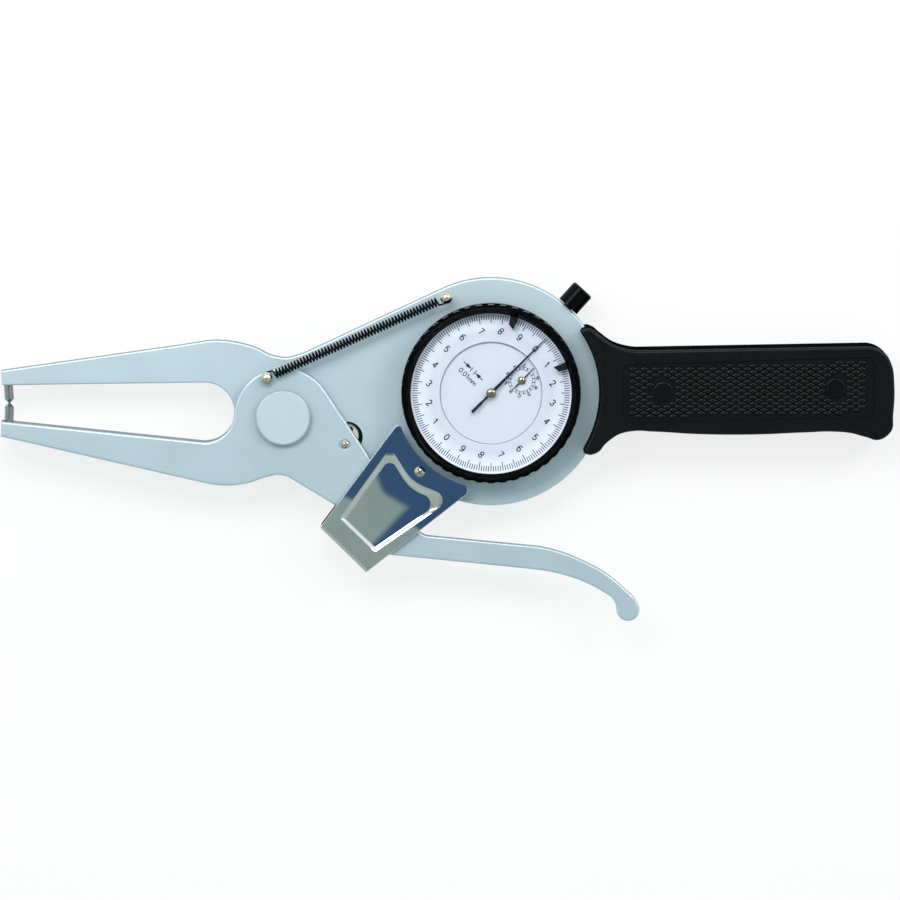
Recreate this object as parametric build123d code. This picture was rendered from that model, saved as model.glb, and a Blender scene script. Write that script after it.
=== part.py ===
from build123d import *
import math
import os

os.makedirs("parts", exist_ok=True)

# The gauge lies on its back: X runs from the jaw tips to the handle, Y towards the fixed jaw,
# Z out of the dial. All sizes are in millimetres and angles in degrees, counter-clockwise from +X.

# Places of the main axes
PIVOT = (-54.5, 10.9)
DIAL = (14.6, 19.2)
WINDOW = (-33.32, 4.07)
DRIVE_PIN = (-34.08, 1.73)
BODY_POST = (-0.25, 50.97)
JAW_POST = (-60.05, 24.23)
GUARD_SCREW = (-9.08, -7.03)
HANDLE_SCREWS = ((71.8, 19.8), (129.0, 21.0))
CONTACT = (-145.95, 15.33)

# Levels
BODY_BACK = 8.0
BODY_FACE = 14.0
JAW_BACK = 14.5
JAW_FACE = 17.7
SHEET_FRONT = 19.7
SHEET_BACK = 7.2
SHEET = 0.8
HANDLE_TOP = 22.0
HANDLE_SPLIT = 11.0
SPRING_AXIS = 19.6
THROUGH = 30.0

# Body and jaws
DISC_R = 38.0
HUB_R = 16.5
NECK_R = 15.2
THROAT_R = 9.85
THROAT_Y = 12.45
LAP_CLEAR_R = 17.2
BODY_EDGE = 0.5
JAW_EDGE = 0.7
PIN_R = 1.55
PIN_AXIS_Z = 11.0
PIN_GAP = 0.04
UPPER_PIN_TILT = 3.4
LOWER_PIN_TILT = 2.0
LEVER_BALL = (60.3, -53.35)
LEVER_BALL_R = 3.85

# Pivot
SHAFT_R = 4.0
BUSH_R = 5.5
RUN = 0.04
CAP_R = 9.05

# Dial, bezel and case
BEZEL_R = 29.85
BEZEL_GRIP_R = 29.7
BEZEL_SKIRT_R = 29.5
BEZEL_TOP = 25.7
BEZEL_CREST_R = 28.4
BEZEL_LIP_R = 26.7
CASE_R = 28.0
CASE_LOW = 9.2
CASE_TOP = 18.6
SCALE_INNER_R = 16.9
SCALLOPS = 46

# Gear train: the sector turns the counter arbor once for 20 mm at the tips
WHEEL_TEETH = 100
PINION_TEETH = 10
FINE_MODULE = 0.2
SECTOR_PINION_TEETH = 16
JAW_TURNS = 28.5
TRAVEL = 360 / JAW_TURNS
ARBOR_ANGLE = 22.08
ARBOR_SPACING = FINE_MODULE * (WHEEL_TEETH + PINION_TEETH) / 2
COUNTER = (
    DIAL[0] + ARBOR_SPACING * math.cos(math.radians(ARBOR_ANGLE)),
    DIAL[1] + ARBOR_SPACING * math.sin(math.radians(ARBOR_ANGLE)),
)
TAKEUP = (2 * DIAL[0] - COUNTER[0], 2 * DIAL[1] - COUNTER[1])
SECTOR_TEETH = round(SECTOR_PINION_TEETH * JAW_TURNS)
SECTOR_CENTRES = math.dist(PIVOT, COUNTER)
SECTOR_ANGLE = math.degrees(math.atan2(COUNTER[1] - PIVOT[1], COUNTER[0] - PIVOT[0]))
SECTOR_MODULE = 2 * SECTOR_CENTRES / (SECTOR_TEETH - SECTOR_PINION_TEETH)
SECTOR_R = SECTOR_TEETH * SECTOR_MODULE / 2
ARM_LOW = 3.0
ARM_HIGH = 4.6
WHEEL_LOW = 9.2
WHEEL_HIGH = 10.0

# Return spring
WIRE = 0.5
COIL_R = 1.35
COIL_TURNS = 53.5
HOOK_R = 1.7
HOOK_BEND = 0.8
COIL_FROM_BODY_POST = 3.1
COIL_FROM_JAW_POST = 2.9

parts = {}


def polar(centre, radius, angle):
    a = math.radians(angle)
    return (centre[0] + radius * math.cos(a), centre[1] + radius * math.sin(a))


def disc(centre, radius, low, high):
    column = Cylinder(radius, high - low, align=(Align.CENTER, Align.CENTER, Align.MIN))
    return Pos(centre[0], centre[1], low) * column


def bore(centre, radius):
    """What a hole right through the gauge takes away."""
    return disc(centre, radius, -1, THROUGH)


def ring(centre, outer, inner, low, high):
    return disc(centre, outer, low, high) - disc(centre, inner, low - 1, high + 1)


def arc(centre, radius, start, end):
    middle = (start + end) / 2
    return ThreePointArc(polar(centre, radius, start), polar(centre, radius, middle), polar(centre, radius, end))


def dome(centre, radius, low, height):
    """A round head with a ball-shaped top."""
    ball_r = (radius**2 + height**2) / (2 * height)
    return disc(centre, radius, low, low + height) & Pos(centre[0], centre[1], low + height - ball_r) * Sphere(ball_r)


def slab(outline, low, high):
    """A flat piece with the given outline, between two levels."""
    face = outline if isinstance(outline, (Face, Sketch)) else make_face(outline)
    return extrude(Pos(0, 0, low) * face, amount=high - low, dir=(0, 0, 1))


def biarc(start, start_way, end, end_way):
    """Two arcs in line with each other and with the directions at both ends."""
    v = end - start
    t = start_way + end_way
    a = t.dot(t) - 4
    b = -2 * v.dot(t)
    c = v.dot(v)
    reach = -c / b if abs(a) < 1e-9 else (-b - math.sqrt(b * b - 4 * a * c)) / (2 * a)
    first = start + start_way * reach
    second = end - end_way * reach
    joint = (first + second) * 0.5
    return [bow(start, first, joint), bow(joint, second, end)]


def bow(start, corner, end):
    """The arc from start to end whose end tangents meet at the corner."""
    middle = (start + end) * 0.5
    lean = math.radians((corner - start).get_angle(end - start))
    if lean < 1e-4:
        return Edge.make_line(start, end)
    top = middle + (corner - middle) * (math.tan(lean / 2) / math.tan(lean))
    return Edge.make_three_point_arc(start, top, end)


def smooth(points, start_way, end_way):
    """Arcs in line with each other through flat points, with given directions at the two ends."""
    spots = [Vector(x, y, 0) for x, y in points]
    ways = [Vector(start_way[0], start_way[1], 0).normalized()]
    for before, here, after in zip(spots, spots[1:], spots[2:]):
        arriving = here - before
        leaving = after - here
        way = arriving * (1 / arriving.length**2) + leaving * (1 / leaving.length**2)
        ways.append(way.normalized())
    ways.append(Vector(end_way[0], end_way[1], 0).normalized())
    curve = Curve()
    for p, t, q, u in zip(spots, ways, spots[1:], ways[1:]):
        for edge in biarc(p, t, q, u):
            curve += edge
    return curve


def polygon(points):
    return Polyline(*points, close=True)


def strip(start, end, width):
    """The outline of a straight bar between two points."""
    length = math.dist(start, end)
    nx = (start[1] - end[1]) / length * width / 2
    ny = (end[0] - start[0]) / length * width / 2
    return polygon(
        [
            (start[0] + nx, start[1] + ny),
            (start[0] - nx, start[1] - ny),
            (end[0] - nx, end[1] - ny),
            (end[0] + nx, end[1] + ny),
        ]
    )


def round_front_edges(piece, level, size):
    """Rounds the outer edges of a flat front face."""
    edges = piece.edges().filter_by(lambda e: all(abs(v.Z - level) < 1e-6 for v in e.vertices()))
    return fillet(edges, size)


def tangent_angle(centre_a, radius_a, centre_b, radius_b, side):
    """The angle of the normal to the line that touches two circles on one side."""
    base = math.degrees(math.atan2(centre_b[1] - centre_a[1], centre_b[0] - centre_a[0]))
    spread = math.degrees(math.asin((radius_b - radius_a) / math.dist(centre_a, centre_b)))
    return base + side * (90 + spread)


# Body: upper jaw, neck, dial disc and the tang in the handle
THROAT = (PIVOT[0] - math.sqrt((THROAT_R + HUB_R) ** 2 - (THROAT_Y - PIVOT[1]) ** 2), THROAT_Y)
UPPER_TIP = ((-148.6, 26.2), (-148.4, 21.35))
CREST_START = (-88.25, 34.8)
CREST_POINTS = ((-75.6, 36.3), (-65.0, 34.3), (-57.4, 31.0), (-54.0, 30.5), (-50.0, 31.3))
SHOULDER = (-43.7, 33.9)
SHOULDER_ANGLE = 24.9
TANG = ((46.0, 12.5), (136.0, 13.5), (136.0, 28.0), (46.0, 28.0))
CASE_HOLE_R = 23.0
BEZEL_BORE_R = 29.6
KNOB_ANGLE = 47.9
PAD_R = 1.5
PAD_LEVEL = 11.6
PAD_OUTER = 33.0
PAD_GAP = 0.25
KNOB_R = 3.95
KNOB_OUTER = 45.9
KNOB_GAP = 0.3
KNOB_RIM = 0.5
WINDOW_R = 5.2


def body_plate():
    low_normal = tangent_angle(PIVOT, NECK_R, DIAL, DISC_R, -1) + 360
    top_normal = SHOULDER_ANGLE + 90
    throat_top = (THROAT[0], THROAT[1] + THROAT_R)
    rise = math.degrees(math.atan2(CREST_START[1] - UPPER_TIP[0][1], CREST_START[0] - UPPER_TIP[0][0]))
    top_end = polar(DIAL, DISC_R, top_normal)
    low_start = polar(PIVOT, NECK_R, low_normal)
    outline = Line(UPPER_TIP[1], throat_top)
    outline += arc(THROAT, THROAT_R, 90, 0)
    outline += Line(polar(THROAT, THROAT_R, 0), polar(PIVOT, NECK_R, 180))
    outline += arc(PIVOT, NECK_R, 180, low_normal)
    outline += Line(low_start, polar(DIAL, DISC_R, low_normal))
    outline += arc(DIAL, DISC_R, low_normal, top_normal + 360)
    outline += Line(top_end, SHOULDER)
    outline += smooth([CREST_START, *CREST_POINTS, SHOULDER], polar((0, 0), 1, rise), polar((0, 0), 1, SHOULDER_ANGLE))
    outline += Line(CREST_START, UPPER_TIP[0])
    outline += Line(UPPER_TIP[0], UPPER_TIP[1])
    plate = slab(outline, BODY_BACK, BODY_FACE)
    plate = round_front_edges(plate, BODY_FACE, BODY_EDGE)
    plate += slab(polygon(TANG), BODY_BACK, BODY_FACE)
    plate -= bore(DIAL, CASE_HOLE_R)
    plate -= disc(DIAL, BEZEL_BORE_R, CASE_LOW, THROUGH)
    plate -= bore(WINDOW, WINDOW_R)
    plate -= bore(PIVOT, SHAFT_R)
    plate -= disc(BODY_POST, POST_STEM_R, BODY_BACK + 2, THROUGH)
    plate -= bore(GUARD_SCREW, GUARD_SCREW_R)
    for place in HANDLE_SCREWS:
        plate -= bore(place, HANDLE_BOLT_R)
    for place in COVER_SCREWS:
        plate -= disc(place, COVER_SCREW_R, 0, COVER_SCREW_TOP)
    for angle in CASE_SCREW_ANGLES:
        plate -= bore(polar(DIAL, CASE_SCREW_CIRCLE, angle), SMALL_SCREW_R)
    plate -= radial_column(PAD_R + RUN, DISC_R + 5, BEZEL_BORE_R - 1)
    plate -= contact_pin_column(1)
    return plate


def radial_column(radius, outer, inner):
    """A cylinder along the clamp knob's axis, between two distances from the dial's centre."""
    a = math.radians(KNOB_ANGLE)
    start = (DIAL[0] + inner * math.cos(a), DIAL[1] + inner * math.sin(a), PAD_LEVEL)
    plane = Plane(origin=start, z_dir=(math.cos(a), math.sin(a), 0))
    return extrude(plane * Circle(radius), amount=outer - inner)


# Contact pins, pressed 3 mm into the jaws, with their tips together
PIN_DEPTH = 3.2
PIN_OUT = 6.2
PIN_TIP_HIGH = 1.2
PIN_TIP_R = 0.35


def contact_pin_column(side):
    """The plain cylinder of one pin, leaning from the contact point into the jaw on that side."""
    tilt = math.radians(UPPER_PIN_TILT if side > 0 else LOWER_PIN_TILT)
    axis = Vector(-math.sin(tilt), side * math.cos(tilt), 0)
    start = Vector(CONTACT[0], CONTACT[1] + side * PIN_GAP / 2, PIN_AXIS_Z)
    length = PIN_OUT + PIN_DEPTH
    plane = Plane(origin=start, x_dir=(0, 0, 1), z_dir=axis)
    return extrude(plane * Circle(PIN_R), amount=length)


def contact_pin(side):
    pin = contact_pin_column(side)
    point = Vector(CONTACT[0], CONTACT[1], PIN_AXIS_Z)
    face = pin.faces().sort_by(lambda f: (f.center() - point).length)[0]
    return chamfer(face.edges(), length=PIN_TIP_HIGH, length2=PIN_R - PIN_TIP_R, reference=face)


# Moving jaw: lower jaw, hub and squeeze lever in front of the body, stepped back at the jaw
LOWER_TIP = ((-148.45, 9.55), (-148.65, 4.5))
BELLY_START = (-81.9, -10.8)
BELLY_POINTS = ((-72.75, -11.9), (-66.85, -11.2), (-59.6, -8.9), (-56.2, -8.3))
BELLY_END = (-52.5, -9.3)
EDGE_NORMAL = 33.6
EDGE_LENGTH = 55.75
EDGE_CORNER = 2.4
LEVER_TOP = ((29.5, -32.1), (34.7, -33.1), (39.65, -34.6), (46.05, -37.4), (51.75, -40.4), (57.8, -45.1))
LEVER_LOW = ((55.2, -49.8), (51.75, -47.3), (46.05, -44.3), (38.95, -41.8))
LEVER_BEND = (28.0, -39.8)
LEVER_UNDER = (-18.8, -35.1)
GUARDED_CORNERS = ((-28.5, -34.0), (-31.0, -22.2))
LAP_EDGE_X = -62.5


def moving_jaw_plate():
    chord = math.degrees(
        math.atan2(THROAT[1] - THROAT_R - LOWER_TIP[0][1], THROAT[0] - LOWER_TIP[0][0])
    )
    join = math.degrees(math.atan2(PIVOT[1] - THROAT[1], PIVOT[0] - THROAT[0]))
    edge_start = polar(PIVOT, HUB_R, EDGE_NORMAL)
    edge_end = polar(edge_start, EDGE_LENGTH, EDGE_NORMAL - 90)
    ball_left = polar(LEVER_BALL, LEVER_BALL_R, 178)
    ball_top = polar(LEVER_BALL, LEVER_BALL_R, 22)
    ball_down = polar(LEVER_BALL, LEVER_BALL_R, -80)
    outline = Line(LOWER_TIP[0], polar(THROAT, THROAT_R, chord - 90))
    outline += arc(THROAT, THROAT_R, chord - 90, join)
    outline += arc(PIVOT, HUB_R, join + 180, EDGE_NORMAL)
    outline += Line(edge_start, edge_end)
    corner = Vector(*polar(edge_end, EDGE_CORNER, EDGE_NORMAL - 90))
    lever_way = (Vector(*LEVER_TOP[0]) - corner).normalized()
    lever_start = corner + lever_way * EDGE_CORNER
    outline += bow(Vector(*edge_end), corner, lever_start)
    outline += Line(lever_start, LEVER_TOP[0])
    outline += smooth([*LEVER_TOP, ball_top], tuple(lever_way), polar((0, 0), 1, 22 - 90))
    outline += ThreePointArc(ball_top, ball_down, ball_left)
    under_way = (LEVER_UNDER[0] - LEVER_BEND[0], LEVER_UNDER[1] - LEVER_BEND[1])
    outline += smooth([ball_left, *LEVER_LOW, LEVER_BEND], (0.03, 1), under_way)
    outline += Line(LEVER_BEND, LEVER_UNDER)
    outline += Polyline(LEVER_UNDER, *GUARDED_CORNERS, BELLY_END)
    belly_way = (BELLY_START[0] - LOWER_TIP[1][0], BELLY_START[1] - LOWER_TIP[1][1])
    brow_way = (GUARDED_CORNERS[1][0] - BELLY_END[0], GUARDED_CORNERS[1][1] - BELLY_END[1])
    outline += smooth([BELLY_START, *BELLY_POINTS, BELLY_END], belly_way, brow_way)
    outline += Line(BELLY_START, LOWER_TIP[1])
    outline += Line(LOWER_TIP[1], LOWER_TIP[0])
    face = make_face(outline)
    plate = slab(face, JAW_BACK, JAW_FACE)
    plate = round_front_edges(plate, JAW_FACE, JAW_EDGE)
    block = slab(polygon([(-160, -20), (LAP_EDGE_X, -20), (LAP_EDGE_X, 30), (-160, 30)]), 0, THROUGH)
    step = (slab(face, BODY_BACK, JAW_BACK) & block) - bore(PIVOT, LAP_CLEAR_R)
    plate += step
    plate -= bore(PIVOT, BUSH_R)
    plate -= bore(DRIVE_PIN, DRIVE_PIN_R)
    plate -= disc(DRIVE_PIN, DRIVE_HEAD_R, JAW_FACE - DRIVE_HEAD_HIGH, THROUGH)
    mouth_r = DRIVE_HEAD_R + DRIVE_MOUTH
    mouth = Cone(DRIVE_HEAD_R, mouth_r, DRIVE_MOUTH, align=(Align.CENTER, Align.CENTER, Align.MAX))
    plate -= Pos(DRIVE_PIN[0], DRIVE_PIN[1], JAW_FACE) * mouth
    plate -= bore(JAW_POST, POST_STEM_R)
    plate -= contact_pin_column(-1)
    return plate


# Small turned pieces of the pivot and the drive
DRIVE_PIN_R = 1.0
DRIVE_HEAD_R = 1.55
DRIVE_HEAD_HIGH = 0.9
DRIVE_DOME = 0.5
DRIVE_MOUTH = 0.5
SLOT_CLEAR = 0.25
INSERT_CENTRE = (-33.79, 4.52)
INSERT_R = 4.3
INSERT_LOW = 12.1
INSERT_HIGH = 13.0
POST_STEM_R = 0.9
POST_FOOT_R = 1.8
POST_HEAD_R = 2.0
POST_HEAD_LOW = 20.3
POST_HEAD_RIM = 0.2
POST_DOME = 1.3
GUARD_SCREW_R = 1.0
STANDOFF_R = 1.5
NUT_LOW = 1.8


def pivot_pieces():
    shaft_top = JAW_FACE + 1.5
    parts["pivot_shaft"] = disc(PIVOT, SHAFT_R, NUT_LOW, shaft_top)
    cap = disc(PIVOT, CAP_R, JAW_FACE + 0.2, JAW_FACE + 2.8)
    cap = chamfer(cap.edges().group_by(Axis.Z)[-1], 0.5)
    parts["pivot_cap"] = cap - disc(PIVOT, SHAFT_R, 0, shaft_top)
    nut = slab(Pos(PIVOT[0], PIVOT[1]) * RegularPolygon(6.5, 6), NUT_LOW, ARM_LOW - 0.1)
    parts["pivot_nut"] = nut - bore(PIVOT, SHAFT_R)
    parts["pivot_spacer"] = ring(PIVOT, 6.5, SHAFT_R, ARM_HIGH + 0.1, BODY_BACK)
    parts["jaw_bush"] = ring(PIVOT, BUSH_R, SHAFT_R + RUN, JAW_BACK, JAW_FACE)
    parts["sector_bush"] = ring(PIVOT, BUSH_R, SHAFT_R + RUN, ARM_LOW, ARM_HIGH)
    parts["glide_washer"] = ring(PIVOT, 13.0, SHAFT_R, BODY_FACE, JAW_BACK - 0.08)


def drive_pieces():
    pin = disc(DRIVE_PIN, DRIVE_PIN_R, ARM_LOW, JAW_FACE)
    pin += disc(DRIVE_PIN, DRIVE_HEAD_R, JAW_FACE - DRIVE_HEAD_HIGH, JAW_FACE - DRIVE_DOME)
    parts["drive_pin"] = pin + dome(DRIVE_PIN, DRIVE_HEAD_R, JAW_FACE - DRIVE_DOME, DRIVE_DOME + 0.1)
    reach = math.dist(PIVOT, DRIVE_PIN)
    start = math.degrees(math.atan2(DRIVE_PIN[1] - PIVOT[1], DRIVE_PIN[0] - PIVOT[0]))
    end = start + TRAVEL
    half = DRIVE_PIN_R + SLOT_CLEAR
    slot = arc(PIVOT, reach + half, start, end)
    slot += Line(polar(PIVOT, reach + half, end), polar(PIVOT, reach - half, end))
    slot += arc(PIVOT, reach - half, start, end)
    slot += Line(polar(PIVOT, reach + half, start), polar(PIVOT, reach - half, start))
    insert = disc(INSERT_CENTRE, INSERT_R, INSERT_LOW, INSERT_HIGH) - slab(slot, 0, THROUGH)
    for angle in (start, end):
        insert -= bore(polar(PIVOT, reach, angle), half)
    parts["window_insert"] = insert
    parts["window_ring"] = disc(WINDOW, WINDOW_R, BODY_BACK, BODY_FACE - 0.1) - bore(INSERT_CENTRE, INSERT_R)


def spring_post(centre, foot, floor):
    post = disc(centre, POST_STEM_R, foot, POST_HEAD_LOW)
    post += disc(centre, POST_FOOT_R, floor, floor + 0.25)
    post += disc(centre, POST_HEAD_R, POST_HEAD_LOW, POST_HEAD_LOW + POST_HEAD_RIM)
    return post + dome(centre, POST_HEAD_R, POST_HEAD_LOW + POST_HEAD_RIM, POST_DOME)


# Sector arm behind the body, with its toothed slot beyond the counter arbor
SLOT_SIDE = 2.8
RIM_R = 85.5
FRAME_INNER_R = 73.5
ARM_ANGLE = 2.6
ARM_WIDTH = 8.0


def annular(inner, outer, start, end):
    edges = arc(PIVOT, inner, start, end)
    edges += Line(polar(PIVOT, inner, end), polar(PIVOT, outer, end))
    edges += arc(PIVOT, outer, end, start)
    edges += Line(polar(PIVOT, outer, start), polar(PIVOT, inner, start))
    return make_face(edges)


def sector_arm():
    pinion_r = SECTOR_MODULE * SECTOR_PINION_TEETH / 2 + SECTOR_MODULE
    slot_low = SECTOR_ANGLE - TRAVEL - SLOT_SIDE
    slot_high = SECTOR_ANGLE + SLOT_SIDE
    frame = annular(FRAME_INNER_R, RIM_R, slot_low - 1.4, slot_high + 1.4)
    pitch = 360 / SECTOR_TEETH
    tip_r = SECTOR_R - 0.8 * SECTOR_MODULE
    root_r = SECTOR_R + 1.25 * SECTOR_MODULE
    first = math.ceil((slot_low - SECTOR_ANGLE) / pitch)
    last = math.floor((slot_high - SECTOR_ANGLE) / pitch)
    toothed = [polar(PIVOT, SECTOR_CENTRES - pinion_r - 0.5, slot_low)]
    toothed.append(polar(PIVOT, root_r, slot_low))
    for space in range(first, last):
        middle = SECTOR_ANGLE + (space + 0.5) * pitch
        toothed.append(polar(PIVOT, root_r, middle - 0.26 * pitch))
        toothed.append(polar(PIVOT, tip_r, middle - 0.12 * pitch))
        toothed.append(polar(PIVOT, tip_r, middle + 0.12 * pitch))
        toothed.append(polar(PIVOT, root_r, middle + 0.26 * pitch))
    toothed.append(polar(PIVOT, root_r, slot_high))
    toothed.append(polar(PIVOT, SECTOR_CENTRES - pinion_r - 0.5, slot_high))
    arm = slab(frame, ARM_LOW, ARM_HIGH)
    beam_end = polar(PIVOT, FRAME_INNER_R + 1, ARM_ANGLE)
    arm += slab(strip(PIVOT, beam_end, ARM_WIDTH), ARM_LOW, ARM_HIGH)
    arm += disc(PIVOT, 8.5, ARM_LOW, ARM_HIGH)
    arm += slab(strip(PIVOT, DRIVE_PIN, 5.0), ARM_LOW, ARM_HIGH)
    arm += disc(DRIVE_PIN, 2.8, ARM_LOW, ARM_HIGH)
    arm -= slab(polygon(toothed), 0, THROUGH)
    arm -= bore(PIVOT, BUSH_R)
    arm -= bore(DRIVE_PIN, DRIVE_PIN_R)
    return arm


# Movement: two plates on pillars, three arbors in jewelled holes
PLATE_LOW = 6.0
PLATE_HIGH = 7.0
FRONT_LOW = 12.6
FRONT_HIGH = 13.8
PIVOT_R = 0.5
ARBOR_R = 0.8
JEWEL_RUN = 0.03
BACK_JEWEL_R = 1.6
FRONT_JEWEL_R = 1.3
PILLAR_R = 1.5
PILLAR_STUD_R = 0.8
PILLAR_CIRCLE = 17.0
PILLAR_ANGLES = (112.0, 262.0, 292.0)
CASE_SCREW_CIRCLE = 25.5
CASE_SCREW_ANGLES = (90.0, 180.0, 322.0)
SMALL_SCREW_R = 0.7
PLATE_SCREW_CIRCLE = 23.8
PLATE_SCREW_ANGLES = (30.0, 150.0, 270.0)
PLATE_SCREW_LOW = 10.4
CASE_SCREW_TOP = 12.0


def gear(centre, teeth, module, phase, share, low, high):
    """A spur gear with one tooth centred on the phase angle and some backlash."""
    pitch = 360 / teeth
    radius = teeth * module / 2
    tip = radius + 0.9 * module
    root = radius - 1.2 * module
    points = []
    for tooth in range(teeth):
        middle = phase + tooth * pitch
        points.append(polar(centre, root, middle - (share + 0.07) * pitch))
        points.append(polar(centre, radius, middle - share * pitch))
        points.append(polar(centre, tip, middle - share * 0.45 * pitch))
        points.append(polar(centre, tip, middle + share * 0.45 * pitch))
        points.append(polar(centre, radius, middle + share * pitch))
        points.append(polar(centre, root, middle + (share + 0.07) * pitch))
    return slab(polygon(points), low, high)


def arbors():
    shaft = disc(DIAL, PIVOT_R, PLATE_LOW, POINTER_LOW + POINTER_THICK)
    shaft += disc(DIAL, 0.65, PLATE_HIGH + 0.1, FRONT_LOW - 0.1)
    pinion = gear(DIAL, PINION_TEETH, FINE_MODULE, ARBOR_ANGLE, 0.17, WHEEL_LOW - 0.6, WHEEL_HIGH + 0.6)
    parts["centre_arbor"] = shaft + pinion
    wheel_phase = ARBOR_ANGLE + 180 + 180 / WHEEL_TEETH
    drive_low = ARM_LOW - 0.2
    drive_high = ARM_HIGH + 0.3
    counter = disc(COUNTER, ARBOR_R, drive_low, FRONT_LOW - 0.1)
    counter += disc(COUNTER, PIVOT_R, FRONT_LOW - 0.1, COUNTER_HAND_LOW + COUNTER_HAND_THICK)
    counter += gear(COUNTER, SECTOR_PINION_TEETH, SECTOR_MODULE, SECTOR_ANGLE, 0.18, drive_low, drive_high)
    counter += gear(COUNTER, WHEEL_TEETH, FINE_MODULE, wheel_phase, 0.19, WHEEL_LOW, WHEEL_HIGH)
    parts["counter_arbor"] = counter
    takeup = disc(TAKEUP, PIVOT_R, PLATE_LOW, FRONT_HIGH)
    takeup += disc(TAKEUP, ARBOR_R, PLATE_HIGH + 0.1, FRONT_LOW - 0.1)
    takeup += disc(TAKEUP, COLLET_R, HAIR_LOW - 0.1, HAIR_HIGH + 0.1)
    takeup += gear(TAKEUP, WHEEL_TEETH, FINE_MODULE, wheel_phase + 180, 0.19, WHEEL_LOW, WHEEL_HIGH)
    parts["takeup_wheel"] = takeup


# Hairspring of half circles
COLLET_R = 1.4
HAIR_LOW = 7.6
HAIR_HIGH = 8.3
HAIR_FIRST_R = 1.7
HAIR_STEP = 0.32
HAIR_THICK = 0.15
HAIR_HALF_TURNS = 12


def hairspring():
    """A flat spiral of half circles from the collet outwards."""
    half = HAIR_THICK / 2
    outer = Curve()
    inner = Curve()
    for turn in range(HAIR_HALF_TURNS):
        radius = HAIR_FIRST_R + turn * HAIR_STEP
        even = turn % 2 == 0
        centre = (TAKEUP[0] + (0 if even else HAIR_STEP), TAKEUP[1])
        start = 0 if even else 180
        outer += arc(centre, radius + half, start, start + 180)
        inner += arc(centre, radius - half, start, start + 180)
    head_x = TAKEUP[0] + HAIR_FIRST_R
    tail_x = head_x + HAIR_HALF_TURNS * HAIR_STEP
    head = Line((head_x + half, TAKEUP[1]), (head_x - half, TAKEUP[1]))
    tail = Line((tail_x + half, TAKEUP[1]), (tail_x - half, TAKEUP[1]))
    return slab(make_face(outer + tail + inner + head), HAIR_LOW, HAIR_HIGH)


def movement():
    back = disc(DIAL, 20.5, PLATE_LOW, PLATE_HIGH)
    front = disc(DIAL, 25.0, FRONT_LOW, FRONT_HIGH)
    jewels = Part()
    for centre, back_r in ((DIAL, PIVOT_R), (COUNTER, ARBOR_R), (TAKEUP, PIVOT_R)):
        back -= bore(centre, BACK_JEWEL_R)
        front -= bore(centre, FRONT_JEWEL_R)
        jewels += ring(centre, BACK_JEWEL_R, back_r + JEWEL_RUN, PLATE_LOW, PLATE_HIGH)
        jewels += ring(centre, FRONT_JEWEL_R, PIVOT_R + JEWEL_RUN, FRONT_LOW, FRONT_HIGH)
    pillars = Part()
    screws = Part()
    thread_end = PLATE_HIGH + 2
    for angle in PILLAR_ANGLES:
        place = polar(DIAL, PILLAR_CIRCLE, angle)
        pillars += disc(place, PILLAR_R, PLATE_HIGH, FRONT_LOW) - disc(place, SMALL_SCREW_R, 0, thread_end)
        pillars += disc(place, PILLAR_STUD_R, FRONT_LOW, FRONT_HIGH)
        front -= bore(place, PILLAR_STUD_R)
        back -= bore(place, SMALL_SCREW_R)
        screws += disc(place, 1.3, PLATE_LOW - 0.7, PLATE_LOW)
        screws += disc(place, SMALL_SCREW_R, PLATE_LOW, thread_end)
    for angle in PLATE_SCREW_ANGLES:
        place = polar(DIAL, PLATE_SCREW_CIRCLE, angle)
        front -= bore(place, SMALL_SCREW_R)
        screws += disc(place, 1.15, FRONT_HIGH, FRONT_HIGH + 0.8)
        screws += disc(place, SMALL_SCREW_R, PLATE_SCREW_LOW, FRONT_HIGH)
    for angle in DIAL_FOOT_ANGLES:
        front -= bore(polar(DIAL, DIAL_FOOT_CIRCLE, angle), DIAL_FOOT_R)
    parts["movement_back_plate"] = back
    parts["movement_front_plate"] = front
    parts["jewel_bearings"] = jewels
    parts["movement_pillars"] = pillars
    parts["movement_screws"] = screws


def movement_case():
    case = ring(DIAL, CASE_R, 25.0, CASE_LOW, CASE_TOP) + ring(DIAL, CASE_R, 22.6, CASE_LOW, FRONT_LOW)
    case -= ring(DIAL, CASE_R + 1, SNAP_INNER_R - 0.15, SNAP_LOW - 0.2, SNAP_HIGH + 0.2)
    screws = Part()
    for angle in PLATE_SCREW_ANGLES:
        case -= disc(polar(DIAL, PLATE_SCREW_CIRCLE, angle), SMALL_SCREW_R, PLATE_SCREW_LOW, THROUGH)
    for angle in CASE_SCREW_ANGLES:
        place = polar(DIAL, CASE_SCREW_CIRCLE, angle)
        case -= disc(place, SMALL_SCREW_R, 0, CASE_SCREW_TOP)
        screws += disc(place, 1.4, BODY_BACK - 1.1, BODY_BACK)
        screws += disc(place, SMALL_SCREW_R, BODY_BACK, CASE_SCREW_TOP)
    parts["movement_case"] = case
    parts["case_screws"] = screws


# Dial faces and hands
DIAL_FOOT_CIRCLE = 12.0
DIAL_FOOT_ANGLES = (112.0, 292.0)
DIAL_FOOT_R = 0.8
DIAL_TOP = 18.6
SCALE_LOW = 18.8
SCALE_TOP = 19.3
POINTER_ANGLE = 45.0
POINTER_LOW = 20.0
POINTER_THICK = 0.25
COUNTER_HAND_LOW = 19.0
COUNTER_HAND_THICK = 0.2
HAND_HUB_R = 0.9
LIMIT_ANGLES = {"limit_hand_upper": 73.3, "limit_hand_lower": 20.4}
LIMIT_TIP_R = 22.4
LIMIT_SLANT = 1.3
LIMIT_HALF = 1.0
LIMIT_ROOT_HALF = 1.3
SHOE_OUTER_R = 28.55
SHOE_INNER_R = 27.1
SHOE_HALF_ANGLE = 5.0
SHOE_LOW = 22.2
SHOE_HIGH = 22.5


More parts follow.
